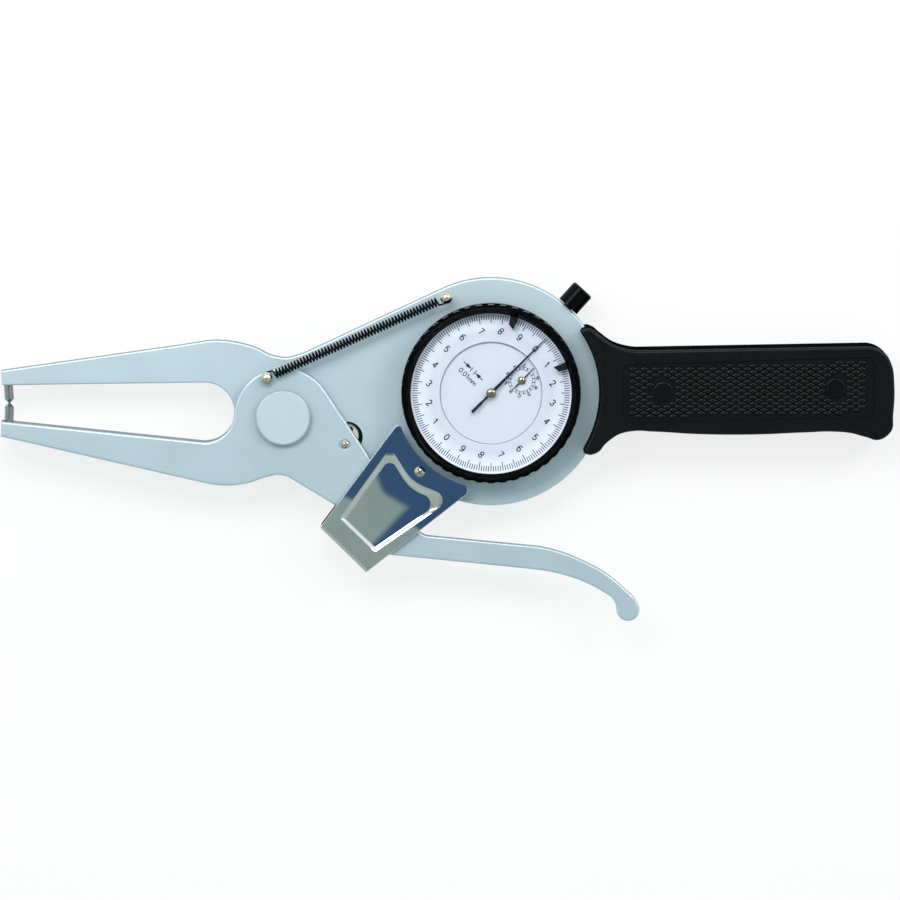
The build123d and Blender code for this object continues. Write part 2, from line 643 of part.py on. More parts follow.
def dial_faces():
    inner = disc(DIAL, SCALE_INNER_R + 0.5, DIAL_TOP - 0.4, DIAL_TOP)
    for angle in DIAL_FOOT_ANGLES:
        inner += disc(polar(DIAL, DIAL_FOOT_CIRCLE, angle), DIAL_FOOT_R, FRONT_LOW, DIAL_TOP - 0.3)
    inner -= bore(DIAL, 1.1)
    inner -= bore(COUNTER, 1.1)
    parts["inner_dial"] = inner
    parts["scale_ring"] = ring(DIAL, SLEEVE_BORE_R, SCALE_INNER_R, SCALE_LOW, SCALE_TOP)


def hand(centre, low, thick, tip, tail, root_half, tip_half, tail_half):
    """A tapered hand along +X from its centre, turned to the zero direction."""
    points = [
        (-tail, -tail_half),
        (-tail * 0.55, -tail_half),
        (-tail * 0.4, -root_half * 0.6),
        (0, -root_half),
        (tip, -tip_half),
        (tip, tip_half),
        (0, root_half),
        (-tail * 0.4, root_half * 0.6),
        (-tail * 0.55, tail_half),
        (-tail, tail_half),
    ]
    made = slab(polygon(points), low, low + thick) + disc((0, 0), HAND_HUB_R, low, low + thick)
    made -= bore((0, 0), PIVOT_R)
    return Pos(centre[0], centre[1]) * Rot(0, 0, POINTER_ANGLE) * made


def hands():
    parts["main_pointer"] = hand(DIAL, POINTER_LOW, POINTER_THICK, 25.7, 9.0, 0.55, 0.13, 0.5)
    parts["main_pointer_cap"] = dome(DIAL, 1.65, POINTER_LOW + POINTER_THICK, 0.6)
    parts["counter_pointer"] = hand(COUNTER, COUNTER_HAND_LOW, COUNTER_HAND_THICK, 3.77, 3.3, 0.3, 0.18, 0.22)
    parts["counter_pointer_cap"] = dome(COUNTER, 1.35, COUNTER_HAND_LOW + COUNTER_HAND_THICK, 0.5)


def limit_hand(angle, side):
    """A half arrow on a curved shoe that slides in the bezel's groove."""
    centre = (0, 0)
    first = -SHOE_HALF_ANGLE
    last = SHOE_HALF_ANGLE
    shoe = arc(centre, SHOE_OUTER_R, first, last)
    shoe += Line(polar(centre, SHOE_OUTER_R, last), polar(centre, SHOE_INNER_R, last))
    shoe += arc(centre, SHOE_INNER_R, last, first)
    shoe += Line(polar(centre, SHOE_INNER_R, first), polar(centre, SHOE_OUTER_R, first))
    root_r = SHOE_INNER_R + 0.5
    arrow = [
        (LIMIT_TIP_R, side * LIMIT_HALF),
        (root_r, side * LIMIT_ROOT_HALF),
        (root_r, -side * LIMIT_ROOT_HALF),
        (LIMIT_TIP_R + LIMIT_SLANT, -side * LIMIT_HALF),
    ]
    made = slab(shoe, SHOE_LOW, SHOE_HIGH) + slab(polygon(arrow), SHOE_LOW, SHOE_HIGH)
    return Pos(DIAL[0], DIAL[1]) * Rot(0, 0, angle) * made


# Bezel with its sleeve in the body, crystal and snap ring
SLEEVE_BORE_R = CASE_R + 0.06
SLEEVE_LOW = 9.6
BEZEL_SHOULDER = BODY_FACE + 0.4
GRIP_LOW = 19.0
GROOVE_R = 28.7
CRYSTAL_R = 28.4
CRYSTAL_LOW = 20.95
CRYSTAL_TOP = 22.0
GASKET_INNER_R = 27.35
GASKET_LOW = 20.8
SNAP_OUTER_R = 28.75
SNAP_INNER_R = 27.6
SNAP_LOW = 16.1
SNAP_HIGH = 16.9
FLUTE_R = 2.4
FLUTE_DEEP = 0.35


def bezel_pieces():
    profile = [
        (SLEEVE_BORE_R, SLEEVE_LOW),
        (BEZEL_SKIRT_R, SLEEVE_LOW),
        (BEZEL_SKIRT_R, BEZEL_SHOULDER),
        (BEZEL_R, BEZEL_SHOULDER),
        (BEZEL_R, GRIP_LOW - 0.3),
        (BEZEL_R - 0.25, GRIP_LOW),
        (BEZEL_GRIP_R, GRIP_LOW + 0.25),
        (BEZEL_GRIP_R, BEZEL_TOP - 0.8),
        (BEZEL_CREST_R + 0.35, BEZEL_TOP - 0.12),
        (BEZEL_CREST_R, BEZEL_TOP),
        (BEZEL_CREST_R - 0.3, BEZEL_TOP - 0.15),
        (BEZEL_LIP_R, SHOE_HIGH + 0.8),
        (BEZEL_LIP_R, SHOE_HIGH + 0.1),
        (GROOVE_R, SHOE_HIGH + 0.1),
        (GROOVE_R, CRYSTAL_TOP + 0.05),
        (CRYSTAL_R, CRYSTAL_TOP + 0.05),
        (CRYSTAL_R, GASKET_LOW),
        (GASKET_INNER_R, GASKET_LOW),
        (GASKET_INNER_R, SCALE_TOP),
        (SLEEVE_BORE_R, SCALE_TOP),
        (SLEEVE_BORE_R, SNAP_HIGH + 0.15),
        (SNAP_OUTER_R, SNAP_HIGH + 0.15),
        (SNAP_OUTER_R, SNAP_LOW - 0.15),
        (SLEEVE_BORE_R, SNAP_LOW - 0.15),
    ]
    wall = make_face(Polyline(*[(x, 0, z) for x, z in profile], close=True))
    bezel = Pos(DIAL[0], DIAL[1]) * revolve(wall, axis=Axis.Z)
    flutes = Part()
    for flute in range(SCALLOPS):
        place = polar(DIAL, BEZEL_GRIP_R + FLUTE_R - FLUTE_DEEP, flute * 360 / SCALLOPS)
        flutes += disc(place, FLUTE_R, GRIP_LOW + 0.25, THROUGH)
    parts["bezel_ring"] = bezel - flutes
    snap = ring(DIAL, SNAP_OUTER_R, SNAP_INNER_R, SNAP_LOW, SNAP_HIGH)
    gap = slab(polygon([DIAL, polar(DIAL, 40, 80), polar(DIAL, 40, 100)]), 0, THROUGH)
    parts["bezel_snap_ring"] = snap - gap
    parts["crystal"] = disc(DIAL, CRYSTAL_R, CRYSTAL_LOW, CRYSTAL_TOP)
    parts["crystal_gasket"] = ring(DIAL, CRYSTAL_R, GASKET_INNER_R, GASKET_LOW, CRYSTAL_LOW)


# Steel guard round the lever, folded at its outer end, with a sloping recess pressed in its front
GUARD = {"left": (-42.46, -25.9), "bottom": (-27.2, -40.9), "right": (9.4, -12.3), "top": (-15.9, 9.85)}
GUARD_ARC_R = 32.0
GUARD_BACK_ARC_R = 33.5
GUARD_BACK_Y = -4.6
FOLD_R = 1.3
GUARD_TOP_CORNER_R = 1.2
GUARD_RIGHT_CORNER_R = 1.9
GUARD_EDGE = 0.2
PANEL = ((-18.86, 1.1), (-11.73, -10.4), (2.0, -15.85), (-24.0, -33.9), (-35.8, -22.5))
PANEL_CORNERS = (2.2, 14.0, 3.2, 0.6, 0.6)
PANEL_SLOPES = (1.9, 2.6, 1.3, 1.1, 1.9)
PANEL_SHALLOW = 0.2
PANEL_DEEP = 0.75
PANEL_STEPS = ((0.0, 0.0), (0.25, 0.17), (0.75, 0.83), (1.0, 1.0))


def beyond(start, end, extra):
    length = math.dist(start, end)
    return (end[0] + (end[0] - start[0]) * extra / length, end[1] + (end[1] - start[1]) * extra / length)


def crossing(p, p_way, q, q_way):
    """Where two flat lines meet, each given by a point and a direction."""
    share = ((q - p).X * q_way.Y - (q - p).Y * q_way.X) / (p_way.X * q_way.Y - p_way.Y * q_way.X)
    return p + p_way * share


def inset(corners, widths):
    """The corners of a clockwise polygon with each side moved inwards by its own width."""
    spots = [Vector(x, y) for x, y in corners]
    lines = []
    for here, there, width in zip(spots, spots[1:] + spots[:1], widths):
        way = (there - here).normalized()
        lines.append((here + Vector(way.Y, -way.X) * width, way))
    return [crossing(*lines[i - 1], *lines[i]) for i in range(len(lines))]


def panel_section(inwards, drop):
    """The recess's outline, a share of the way in and down from its edge."""
    top = Vector(*PANEL[0])
    fall = Vector(*PANEL[3]) - top
    spots = []
    for corner in inset(PANEL, [width * inwards for width in PANEL_SLOPES]):
        depth = PANEL_SHALLOW + (PANEL_DEEP - PANEL_SHALLOW) * (corner - top).dot(fall) / fall.length**2
        spots.append(Vector(corner.X, corner.Y, SHEET_FRONT - depth * drop))
    face = make_face(Polyline(*spots, close=True)).face()
    for spot, radius in zip(spots, PANEL_CORNERS):
        nearest = face.vertices().sort_by(lambda v: (Vector(v) - spot).length)[0]
        face = face.fillet_2d(radius, [nearest])
    return face


def lever_guard():
    left, bottom, right, top = (GUARD[k] for k in ("left", "bottom", "right", "top"))
    plan = polygon([left, bottom, beyond(bottom, right, 4), beyond(left, top, 4)])
    guard = slab(plan, SHEET_BACK, SHEET_FRONT)
    fold_way = Vector(bottom[0] - left[0], bottom[1] - left[1], 0).normalized()
    inward = Vector(-fold_way.Y, fold_way.X, 0)
    origin = Vector(left[0], left[1], SHEET_BACK + SHEET) + inward * SHEET
    hollow_plane = Plane(origin=origin, x_dir=fold_way, z_dir=(0, 0, 1))
    hollow_high = SHEET_FRONT - SHEET_BACK - 2 * SHEET
    guard -= hollow_plane * Box(200, 80, hollow_high, align=(Align.CENTER, Align.MIN, Align.MIN))
    fold = [
        e
        for e in guard.edges()
        if (e.center() - Vector(left[0], left[1], e.center().Z)).dot(inward) < 1e-4
        and abs((e @ 0 - e @ 1).Z) < 1e-6
    ]
    guard = fillet(fold, FOLD_R)
    back_high = SHEET_FRONT - 2
    guard -= disc(DIAL, GUARD_ARC_R, back_high, THROUGH)
    for place, radius in ((top, GUARD_TOP_CORNER_R), (right, GUARD_RIGHT_CORNER_R)):
        upright = guard.edges().filter_by(Axis.Z)
        nearest = upright.sort_by(lambda e: (e.center() - Vector(place[0], place[1], SHEET_FRONT)).length)[0]
        guard = fillet(nearest, radius)
    rim = [
        e
        for e in guard.edges()
        if all(abs(v.Z - SHEET_FRONT) < 1e-6 for v in e.vertices())
        and (e.center() - Vector(left[0], left[1], SHEET_FRONT)).dot(inward) > FOLD_R + 0.01
    ]
    guard = fillet(rim, GUARD_EDGE)
    guard -= disc(DIAL, GUARD_BACK_ARC_R, 0, back_high)
    room = [(-80, GUARD_BACK_Y), (40, GUARD_BACK_Y), (40, 40), (-80, 40)]
    guard -= slab(polygon(room), 0, back_high)
    press = loft([panel_section(*step) for step in PANEL_STEPS], ruled=True)
    guard += Pos(0, 0, -SHEET) * press
    guard -= press
    guard -= bore(GUARD_SCREW, GUARD_SCREW_R)
    return guard


# The guard's screw, standoff and nut
GUARD_HEAD_R = 1.8
GUARD_HEAD_HIGH = 1.2
GUARD_HEAD_RIM = 0.3
CROSS_LONG = 2.4
CROSS_WIDE = 0.5
CROSS_DEEP = 0.7
CROSS_ANGLE = 30.0
NUT_HIGH = 1.5


def guard_fixings():
    screw = disc(GUARD_SCREW, GUARD_SCREW_R, SHEET_BACK - NUT_HIGH - 0.1, SHEET_FRONT)
    head = disc(GUARD_SCREW, GUARD_HEAD_R, SHEET_FRONT, SHEET_FRONT + GUARD_HEAD_RIM)
    head += dome(GUARD_SCREW, GUARD_HEAD_R, SHEET_FRONT + GUARD_HEAD_RIM, GUARD_HEAD_HIGH - GUARD_HEAD_RIM)
    head_top = Pos(GUARD_SCREW[0], GUARD_SCREW[1], SHEET_FRONT + GUARD_HEAD_HIGH)
    cross = Box(CROSS_LONG, CROSS_WIDE, 2 * CROSS_DEEP)
    for turn in (CROSS_ANGLE, CROSS_ANGLE + 90):
        head -= head_top * Rot(0, 0, turn) * cross
    parts["guard_screw"] = screw + head
    parts["guard_standoff"] = ring(GUARD_SCREW, STANDOFF_R, GUARD_SCREW_R, BODY_FACE, SHEET_FRONT - SHEET)
    nut = slab(Pos(GUARD_SCREW[0], GUARD_SCREW[1]) * RegularPolygon(2.1, 6), SHEET_BACK - NUT_HIGH, SHEET_BACK)
    parts["guard_nut"] = nut - bore(GUARD_SCREW, GUARD_SCREW_R)


# Handle shells on the tang
HANDLE_ARC_R = 36.0
HANDLE_BOLT_R = 2.0
PLUG_R = 3.35
HANDLE_ANGLES = (-31.0, 34.3)
HANDLE_HORN = ((44.7, 40.4), (46.2, 41.0), (48.4, 40.4))
HANDLE_HEEL = ((49.3, -0.9), (47.0, -1.3), (45.4, -0.3))
HANDLE_NECK = ((50.9, 38.4), (55.0, 35.5), (59.9, 33.9))
HANDLE_TOP_START = (64.1, 33.5)
HANDLE_TOP_END = (139.15, 34.85)
HANDLE_END = (
    (142.6, 34.3),
    (145.9, 32.1),
    (147.75, 28.5),
    (148.6, 21.87),
    (148.3, 12.77),
    (147.3, 6.1),
    (143.2, 3.6),
)
HANDLE_LOW = ((139.15, 4.6), (134.25, 5.9), (128.65, 6.4), (118.1, 6.1), (104.1, 5.5), (83.05, 5.6), (69.0, 6.4))
HANDLE_THROAT = ((62.0, 6.6), (57.1, 5.5), (53.4, 3.0))
GRIP_PANEL = ((58.3, 9.4), (141.95, 11.1), (141.95, 31.4), (58.3, 28.9))
GRIP_DEPTH = 0.7
GRIP_CORNER_R = 2.5
RIM_ROUND = 1.0
TANG_CLEAR = 0.1
TANG_CLEAR_FLAT = 0.02
INSERT_BOLT_R = 3.0
INSERT_TOP = 19.2
BOLT_SEAT = 5.0
BOLT_HEAD_LOW = 2.8


def handle_face():
    low_angle, top_angle = HANDLE_ANGLES
    arc_top = polar(DIAL, HANDLE_ARC_R, top_angle)
    arc_low = polar(DIAL, HANDLE_ARC_R, low_angle)
    outline = arc(DIAL, HANDLE_ARC_R, low_angle, top_angle)
    top_way = (HANDLE_TOP_END[0] - HANDLE_TOP_START[0], HANDLE_TOP_END[1] - HANDLE_TOP_START[1])
    outline += smooth(
        [arc_top, *HANDLE_HORN, *HANDLE_NECK, HANDLE_TOP_START],
        polar((0, 0), 1, top_angle + 90),
        top_way,
    )
    outline += Line(HANDLE_TOP_START, HANDLE_TOP_END)
    outline += smooth(
        [HANDLE_TOP_END, *HANDLE_END, *HANDLE_LOW, *HANDLE_THROAT, *HANDLE_HEEL, arc_low],
        top_way,
        polar((0, 0), 1, low_angle + 90),
    )
    return make_face(outline)


def rounded_rim(shell, level):
    rim = shell.edges().filter_by(lambda e: all(abs(v.Z - level) < 1e-6 for v in e.vertices()))
    return fillet(rim, RIM_ROUND)


def handle():
    face = handle_face()
    front = rounded_rim(slab(face, HANDLE_SPLIT, HANDLE_TOP), HANDLE_TOP)
    back = rounded_rim(slab(face, 0, HANDLE_SPLIT), 0)
    low = BODY_BACK - TANG_CLEAR_FLAT
    high = BODY_FACE + TANG_CLEAR_FLAT
    (west, south), (east, _), _, (_, north) = TANG
    c = TANG_CLEAR
    room = disc(DIAL, DISC_R + c, low, high)
    grown = [(west - c, south - c), (east + c, TANG[1][1] - c), (east + c, north + c), (west - c, north + c)]
    room += slab(polygon(grown), low, high)
    front -= room
    back -= room
    panel = fillet(make_face(polygon(GRIP_PANEL)).vertices(), GRIP_CORNER_R)
    front -= slab(panel, HANDLE_TOP - GRIP_DEPTH, THROUGH)
    screws = Part()
    inserts = Part()
    front_plugs = Part()
    back_plugs = Part()
    for place in HANDLE_SCREWS:
        front -= disc(place, INSERT_BOLT_R, BODY_FACE, THROUGH)
        front -= disc(place, PLUG_R, INSERT_TOP, THROUGH)
        back -= bore(place, HANDLE_BOLT_R)
        back -= disc(place, PLUG_R, -1, BOLT_SEAT)
        screws += disc(place, HANDLE_BOLT_R, BOLT_SEAT, INSERT_TOP - 0.7)
        screws += disc(place, PLUG_R - 0.05, BOLT_HEAD_LOW, BOLT_SEAT)
        inserts += ring(place, INSERT_BOLT_R, HANDLE_BOLT_R, BODY_FACE + 0.1, INSERT_TOP)
        plug = disc(place, PLUG_R, INSERT_TOP + 0.1, HANDLE_TOP + 0.1)
        front_plugs += fillet(plug.edges().group_by(Axis.Z)[-1], 0.5)
        back_plugs += disc(place, PLUG_R, 0.3, BOLT_HEAD_LOW - 0.1)
    parts["handle_front"] = front
    parts["handle_back"] = back
    parts["handle_screws"] = screws
    parts["handle_inserts"] = inserts
    parts["handle_front_plugs"] = front_plugs
    parts["handle_back_plugs"] = back_plugs


# Back cover over the sector arm and the movement
COVER_R = 32.8
COVER_PIVOT_R = 14.8
COVER_WALL = 1.5
COVER_SCREW_R = 0.9
COVER_SCREW_HEAD_R = 1.6
COVER_SCREW_TOP = 11.5
COVER_BOSS_R = 2.7
COVER_SCREWS = (polar(DIAL, 30.9, 60), polar(DIAL, 30.9, -45), (-24.0, 33.6), (-25.0, -0.6))


def cover_column(inset, low, high):
    dial_r = COVER_R - inset
    pivot_r = COVER_PIVOT_R - inset
    normal = tangent_angle(PIVOT, pivot_r, DIAL, dial_r, 1)
    low_y = PIVOT[1] - pivot_r
    meet_x = DIAL[0] - math.sqrt(dial_r**2 - (DIAL[1] - low_y) ** 2)
    neck = [
        PIVOT,
        (PIVOT[0], low_y),
        (meet_x, low_y),
        DIAL,
        polar(DIAL, dial_r, normal),
        polar(PIVOT, pivot_r, normal),
    ]
    return disc(DIAL, dial_r, low, high) + disc(PIVOT, pivot_r, low, high) + slab(polygon(neck), low, high)


def back_cover():
    cover = cover_column(0, 0, BODY_BACK) - cover_column(COVER_WALL, COVER_WALL, BODY_BACK + 1)
    outer = cover_column(0, 0, BODY_BACK)
    bosses = Part()
    screws = Part()
    for place in COVER_SCREWS:
        bosses += disc(place, COVER_BOSS_R, COVER_WALL - 0.5, BODY_BACK)
        screws += disc(place, COVER_SCREW_HEAD_R, 0.3, COVER_WALL)
        screws += disc(place, COVER_SCREW_R, COVER_WALL, COVER_SCREW_TOP)
    cover += bosses & outer
    for place in COVER_SCREWS:
        cover -= bore(place, COVER_SCREW_R)
        cover -= disc(place, COVER_SCREW_HEAD_R, -1, COVER_WALL)
    parts["back_cover"] = cover
    parts["back_cover_screws"] = screws


# Bezel clamp
def clamp_pieces():
    parts["brake_pad"] = radial_column(PAD_R, PAD_OUTER, BEZEL_BORE_R + PAD_GAP)
    stem = radial_column(PAD_R, DISC_R + KNOB_GAP + 0.2, PAD_OUTER)
    barrel = radial_column(KNOB_R, KNOB_OUTER, DISC_R + KNOB_GAP)
    rims = barrel.edges().filter_by(GeomType.CIRCLE).sort_by(lambda e: (e.center() - Vector(*DIAL)).length)
    parts["clamp_knob"] = stem + chamfer(rims[-1], KNOB_RIM)


# Return spring: one wire, hooked on both posts
def spring_route():
    """Stations along the wire with their directions, in the row of the coil."""
    span = math.dist(BODY_POST, JAW_POST)
    along = Vector(JAW_POST[0] - BODY_POST[0], JAW_POST[1] - BODY_POST[1], 0) * (1 / span)
    up = Vector(0, 0, 1)
    across = up.cross(along)
    origin = Vector(BODY_POST[0], BODY_POST[1], SPRING_AXIS)

    def place(s, u, w):
        return origin + along * s + across * u + up * w

    def way(s, u, w):
        return (along * s + across * u + up * w).normalized()

    coil = span - COIL_FROM_BODY_POST - COIL_FROM_JAW_POST
    pitch = coil / COIL_TURNS
    stations = []
    for angle in (240, 180, 90):
        a = math.radians(angle)
        stations.append(
            (place(HOOK_R * math.cos(a), HOOK_R * math.sin(a), -HOOK_BEND), way(math.sin(a), -math.cos(a), 0))
        )
    tail = stations[0][0] - stations[0][1] * WIRE
    stations.insert(0, (tail, stations[0][1]))
    stations.append((place(COIL_FROM_BODY_POST - HOOK_BEND, COIL_R, -HOOK_BEND), way(1, 0, 0)))
    for half in range(round(2 * COIL_TURNS) + 1):
        a = math.pi * half
        spot = place(COIL_FROM_BODY_POST + pitch * half / 2, COIL_R * math.cos(a), COIL_R * math.sin(a))
        stations.append((spot, way(pitch / (2 * math.pi), -COIL_R * math.sin(a), COIL_R * math.cos(a))))
    far = span - COIL_FROM_JAW_POST + HOOK_BEND
    stations.append((place(far, -COIL_R, -HOOK_BEND), way(1, 0, 0)))
    for angle in (-90, 0, 60):
        a = math.radians(angle)
        stations.append(
            (
                place(span + HOOK_R * math.cos(a), HOOK_R * math.sin(a), -HOOK_BEND),
                way(-math.sin(a), math.cos(a), 0),
            )
        )
    end = stations[-1][0] + stations[-1][1] * WIRE
    stations.append((end, stations[-1][1]))
    return stations


def least_gap(edges):
    """The least clear distance between two stretches of the wire that are over a half turn apart."""
    points = []
    travelled = 0.0
    for edge in edges:
        for step in range(4):
            points.append((travelled + edge.length * step / 4, edge @ (step / 4)))
        travelled += edge.length
    apart = math.pi * COIL_R
    best = 1e9
    for i, (s, p) in enumerate(points):
        for s2, q in points[i + 1 : i + 60]:
            if s2 - s > apart:
                best = min(best, (p - q).length - WIRE)
    return best


def return_spring():
    stations = spring_route()
    edges = []
    for (p, t), (q, u) in zip(stations, stations[1:]):
        straight = t.dot(u) > 1 - 1e-9 and (q - p).normalized().dot(t) > 1 - 1e-9
        if straight:
            edges.append(Edge.make_line(p, q))
        else:
            edges.extend(biarc(p, t, q, u))
    path = Wire(edges)
    start, way = stations[0]
    section = Plane(origin=start, z_dir=way) * Circle(WIRE / 2)
    tube = sweep(section, path=path)
    length = sum(e.length for e in edges)
    expected = length * math.pi * WIRE**2 / 4
    print("spring wire", round(length, 1), "mm, volume", round(tube.volume, 2), "expected", round(expected, 2))
    print("spring least gap", round(least_gap(edges), 3), "mm")
    return tube


def build():
    parts["body_plate"] = body_plate()
    parts["moving_jaw_plate"] = moving_jaw_plate()
    parts["upper_contact_pin"] = contact_pin(1)
    parts["lower_contact_pin"] = contact_pin(-1)
    pivot_pieces()
    drive_pieces()
    parts["sector_arm"] = sector_arm()
    arbors()
    parts["hairspring"] = hairspring()
    movement()
    movement_case()
    dial_faces()
    hands()
    parts["limit_hand_upper"] = limit_hand(LIMIT_ANGLES["limit_hand_upper"], -1)
    parts["limit_hand_lower"] = limit_hand(LIMIT_ANGLES["limit_hand_lower"], 1)
    bezel_pieces()
    parts["lever_guard"] = lever_guard()
    guard_fixings()
    handle()
    back_cover()
    clamp_pieces()
    parts["body_spring_post"] = spring_post(BODY_POST, BODY_BACK + 2, BODY_FACE)
    parts["jaw_spring_post"] = spring_post(JAW_POST, JAW_BACK, JAW_FACE)
    parts["spring_bush"] = ring(JAW_POST, 1.3, POST_STEM_R + 0.12, 18.2, 20.1)
    parts["return_spring"] = return_spring()


build()
for name, piece in parts.items():
    export_step(piece, f"parts/{name}.step")
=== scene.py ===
import math

import bpy
from mathutils import Matrix, Vector


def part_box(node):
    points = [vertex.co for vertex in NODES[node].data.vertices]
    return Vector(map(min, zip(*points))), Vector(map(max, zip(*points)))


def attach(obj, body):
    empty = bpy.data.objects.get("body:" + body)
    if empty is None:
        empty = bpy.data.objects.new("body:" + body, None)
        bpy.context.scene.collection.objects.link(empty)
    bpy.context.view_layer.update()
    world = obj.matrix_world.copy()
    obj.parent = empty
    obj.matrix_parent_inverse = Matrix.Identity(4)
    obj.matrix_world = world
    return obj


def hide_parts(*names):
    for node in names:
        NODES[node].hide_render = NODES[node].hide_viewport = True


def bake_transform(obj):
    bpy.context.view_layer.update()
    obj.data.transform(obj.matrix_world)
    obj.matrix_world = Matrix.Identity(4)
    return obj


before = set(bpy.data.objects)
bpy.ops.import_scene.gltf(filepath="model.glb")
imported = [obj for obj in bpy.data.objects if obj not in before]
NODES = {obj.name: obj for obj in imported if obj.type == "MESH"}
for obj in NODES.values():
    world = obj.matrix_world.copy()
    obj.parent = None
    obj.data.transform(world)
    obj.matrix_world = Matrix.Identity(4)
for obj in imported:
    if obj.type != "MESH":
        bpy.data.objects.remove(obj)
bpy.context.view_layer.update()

# The dial caliper gauge in its studio. Lengths are metres and angles degrees, in the part's own frame:
# X from the jaw tips to the handle, Y towards the fixed jaw, Z out of the dial.
MM = 0.001

# Places that the dressing shares with the part
DIAL = Vector((14.6, 19.2, 0)) * MM
COUNTER_ANGLE = 22.08
COUNTER_SPACING = 11.0 * MM
BODY_POST = Vector((-0.25, 50.97, 0)) * MM
JAW_POST = Vector((-60.05, 24.23, 0)) * MM
SPRING_LEVEL = 19.6 * MM

# The dial: the turn of its figures, where its zeros point, its height in millimetres, and how thick its
# print is
DIAL_TURN = -45.0
ZERO_ANGLE = 45.0
DIAL_LEVEL = 19.0
PRINT = 0.02 * MM


def polar(radius, angle, level=0.0, centre=Vector((0, 0, 0))):
    a = math.radians(angle)
    return Vector((centre.x + radius * math.cos(a), centre.y + radius * math.sin(a), level))


COUNTER = DIAL + polar(COUNTER_SPACING, COUNTER_ANGLE)


# Camera: looks straight down, leaning a little towards the fixed jaw
CAMERA_LENS = 300.0
CAMERA_SENSOR = 36.0
CAMERA_LEAN = 4.5
CAMERA_CLIP = (0.05, 30.0)
VIEW_WIDTH = 300.0 * MM
VIEW_CENTRE = Vector((0.95, -0.23, 14.0)) * MM


def make_camera():
    data = bpy.data.cameras.new("studio_camera")
    data.type = "PERSP"
    data.lens = CAMERA_LENS
    data.sensor_width = CAMERA_SENSOR
    data.clip_start, data.clip_end = CAMERA_CLIP
    camera = bpy.data.objects.new("studio_camera", data)
    distance = VIEW_WIDTH * CAMERA_LENS / CAMERA_SENSOR
    lean = math.radians(CAMERA_LEAN)
    camera.location = VIEW_CENTRE + Vector((0, math.sin(lean), math.cos(lean))) * distance
    camera.rotation_euler = (-lean, 0, 0)
    bpy.context.scene.collection.objects.link(camera)
    bpy.context.scene.camera = camera


# Node helpers for the materials
class Recipe:
    """A node material under construction, with its Principled shader at hand."""

    def __init__(self, name):
        self.material = bpy.data.materials.new(name)
        self.material.use_nodes = True
        self.tree = self.material.node_tree
        self.shader = self.tree.nodes["Principled BSDF"]
        self.output = self.tree.nodes["Material Output"]

    def node(self, kind, **values):
        made = self.tree.nodes.new(kind)
        for key, value in values.items():
            setattr(made, key, value)
        return made

    def link(self, source, target):
        self.tree.links.new(source, target)

    def place(self, scale=(1, 1, 1), turn=0.0):
        """Object coordinates in millimetres, turned about Z and stretched."""
        coords = self.node("ShaderNodeTexCoord")
        mapping = self.node("ShaderNodeMapping")
        mapping.vector_type = "POINT"
        mapping.inputs["Rotation"].default_value = (0, 0, math.radians(turn))
        mapping.inputs["Scale"].default_value = [s / MM for s in scale]
        self.link(coords.outputs["Object"], mapping.inputs["Vector"])
        return mapping.outputs["Vector"]

    def upright(self):
        """How far the surface faces along the object's own Z: 0 on its sides, 1 on its faces."""
        coords = self.node("ShaderNodeTexCoord")
        split = self.node("ShaderNodeSeparateXYZ")
        size = self.node("ShaderNodeMath", operation="ABSOLUTE")
        self.link(coords.outputs["Normal"], split.inputs[0])
        self.link(split.outputs["Z"], size.inputs[0])
        return size.outputs[0]

    def noise(self, vector, size, detail=3.0, roughness=0.5):
        """A noise whose features are about this many units of its vector across."""
        made = self.node("ShaderNodeTexNoise")
        made.inputs["Scale"].default_value = 1.0 / size
        made.inputs["Detail"].default_value = detail
        made.inputs["Roughness"].default_value = roughness
        self.link(vector, made.inputs["Vector"])
        return made.outputs["Fac"]

    def spread(self, value, low, high, source_low=0.3, source_high=0.7):
        """A value between source_low and source_high taken to low and high."""
        made = self.node("ShaderNodeMapRange")
        made.inputs["From Min"].default_value = source_low
        made.inputs["From Max"].default_value = source_high
        made.inputs["To Min"].default_value = low
        made.inputs["To Max"].default_value = high
        self.link(value, made.inputs["Value"])
        return made.outputs["Result"]

    def blend(self, factor, first, second):
        """Two colours mixed, each a plain colour or a socket."""
        made = self.node("ShaderNodeMix", data_type="RGBA")
        self.link(factor, made.inputs["Factor"])
        for socket, colour in (("A", first), ("B", second)):
            target = [s for s in made.inputs if s.name == socket and s.type == "RGBA"][0]
            if isinstance(colour, bpy.types.NodeSocket):
                self.link(colour, target)
            else:
                target.default_value = (*colour, 1)
        return [s for s in made.outputs if s.type == "RGBA"][0]

    def relief(self, height, strength, depth):
        """Bump of this depth in millimetres."""
        made = self.node("ShaderNodeBump")
        made.inputs["Strength"].default_value = strength
        made.inputs["Distance"].default_value = depth * MM
        self.link(height, made.inputs["Height"])
        self.link(made.outputs["Normal"], self.shader.inputs["Normal"])

    def set(self, **values):
        """Plain values or sockets for the shader, by the names of its inputs."""
        for key, value in values.items():
            socket = self.shader.inputs[key.replace("_", " ")]
            if isinstance(value, bpy.types.NodeSocket):
                self.link(value, socket)
            else:
                socket.default_value = (*value, 1) if socket.type == "RGBA" else value


def linear(*eight_bit):
    """A screen colour of 0 to 255 as scene light."""
    return [c / 255 / 12.92 if c <= 10 else ((c / 255 + 0.055) / 1.055) ** 2.4 for c in eight_bit]


def shade(colour, factor):
    return [c * factor for c in colour]


# Blasted metal: how metallic it is, and the painted shade on its sides
SATIN_METALLIC = 0.55
SIDE_PAINTED_SHADE = linear(92, 112, 120)

# How far up a surface faces where it turns from a side into a face
SHADED_SIDE_UPRIGHT = (0.12, 0.3)
MOULDED_UPRIGHT = (0.1, 0.35)

# Millimetres from the dial's centre between which its darker middle tone turns into its lighter rim's:
# painted light that evens out the bezel's shade on the dial's edge
DIAL_PAINTED_LIGHT_SPAN = (20.0, 26.5)


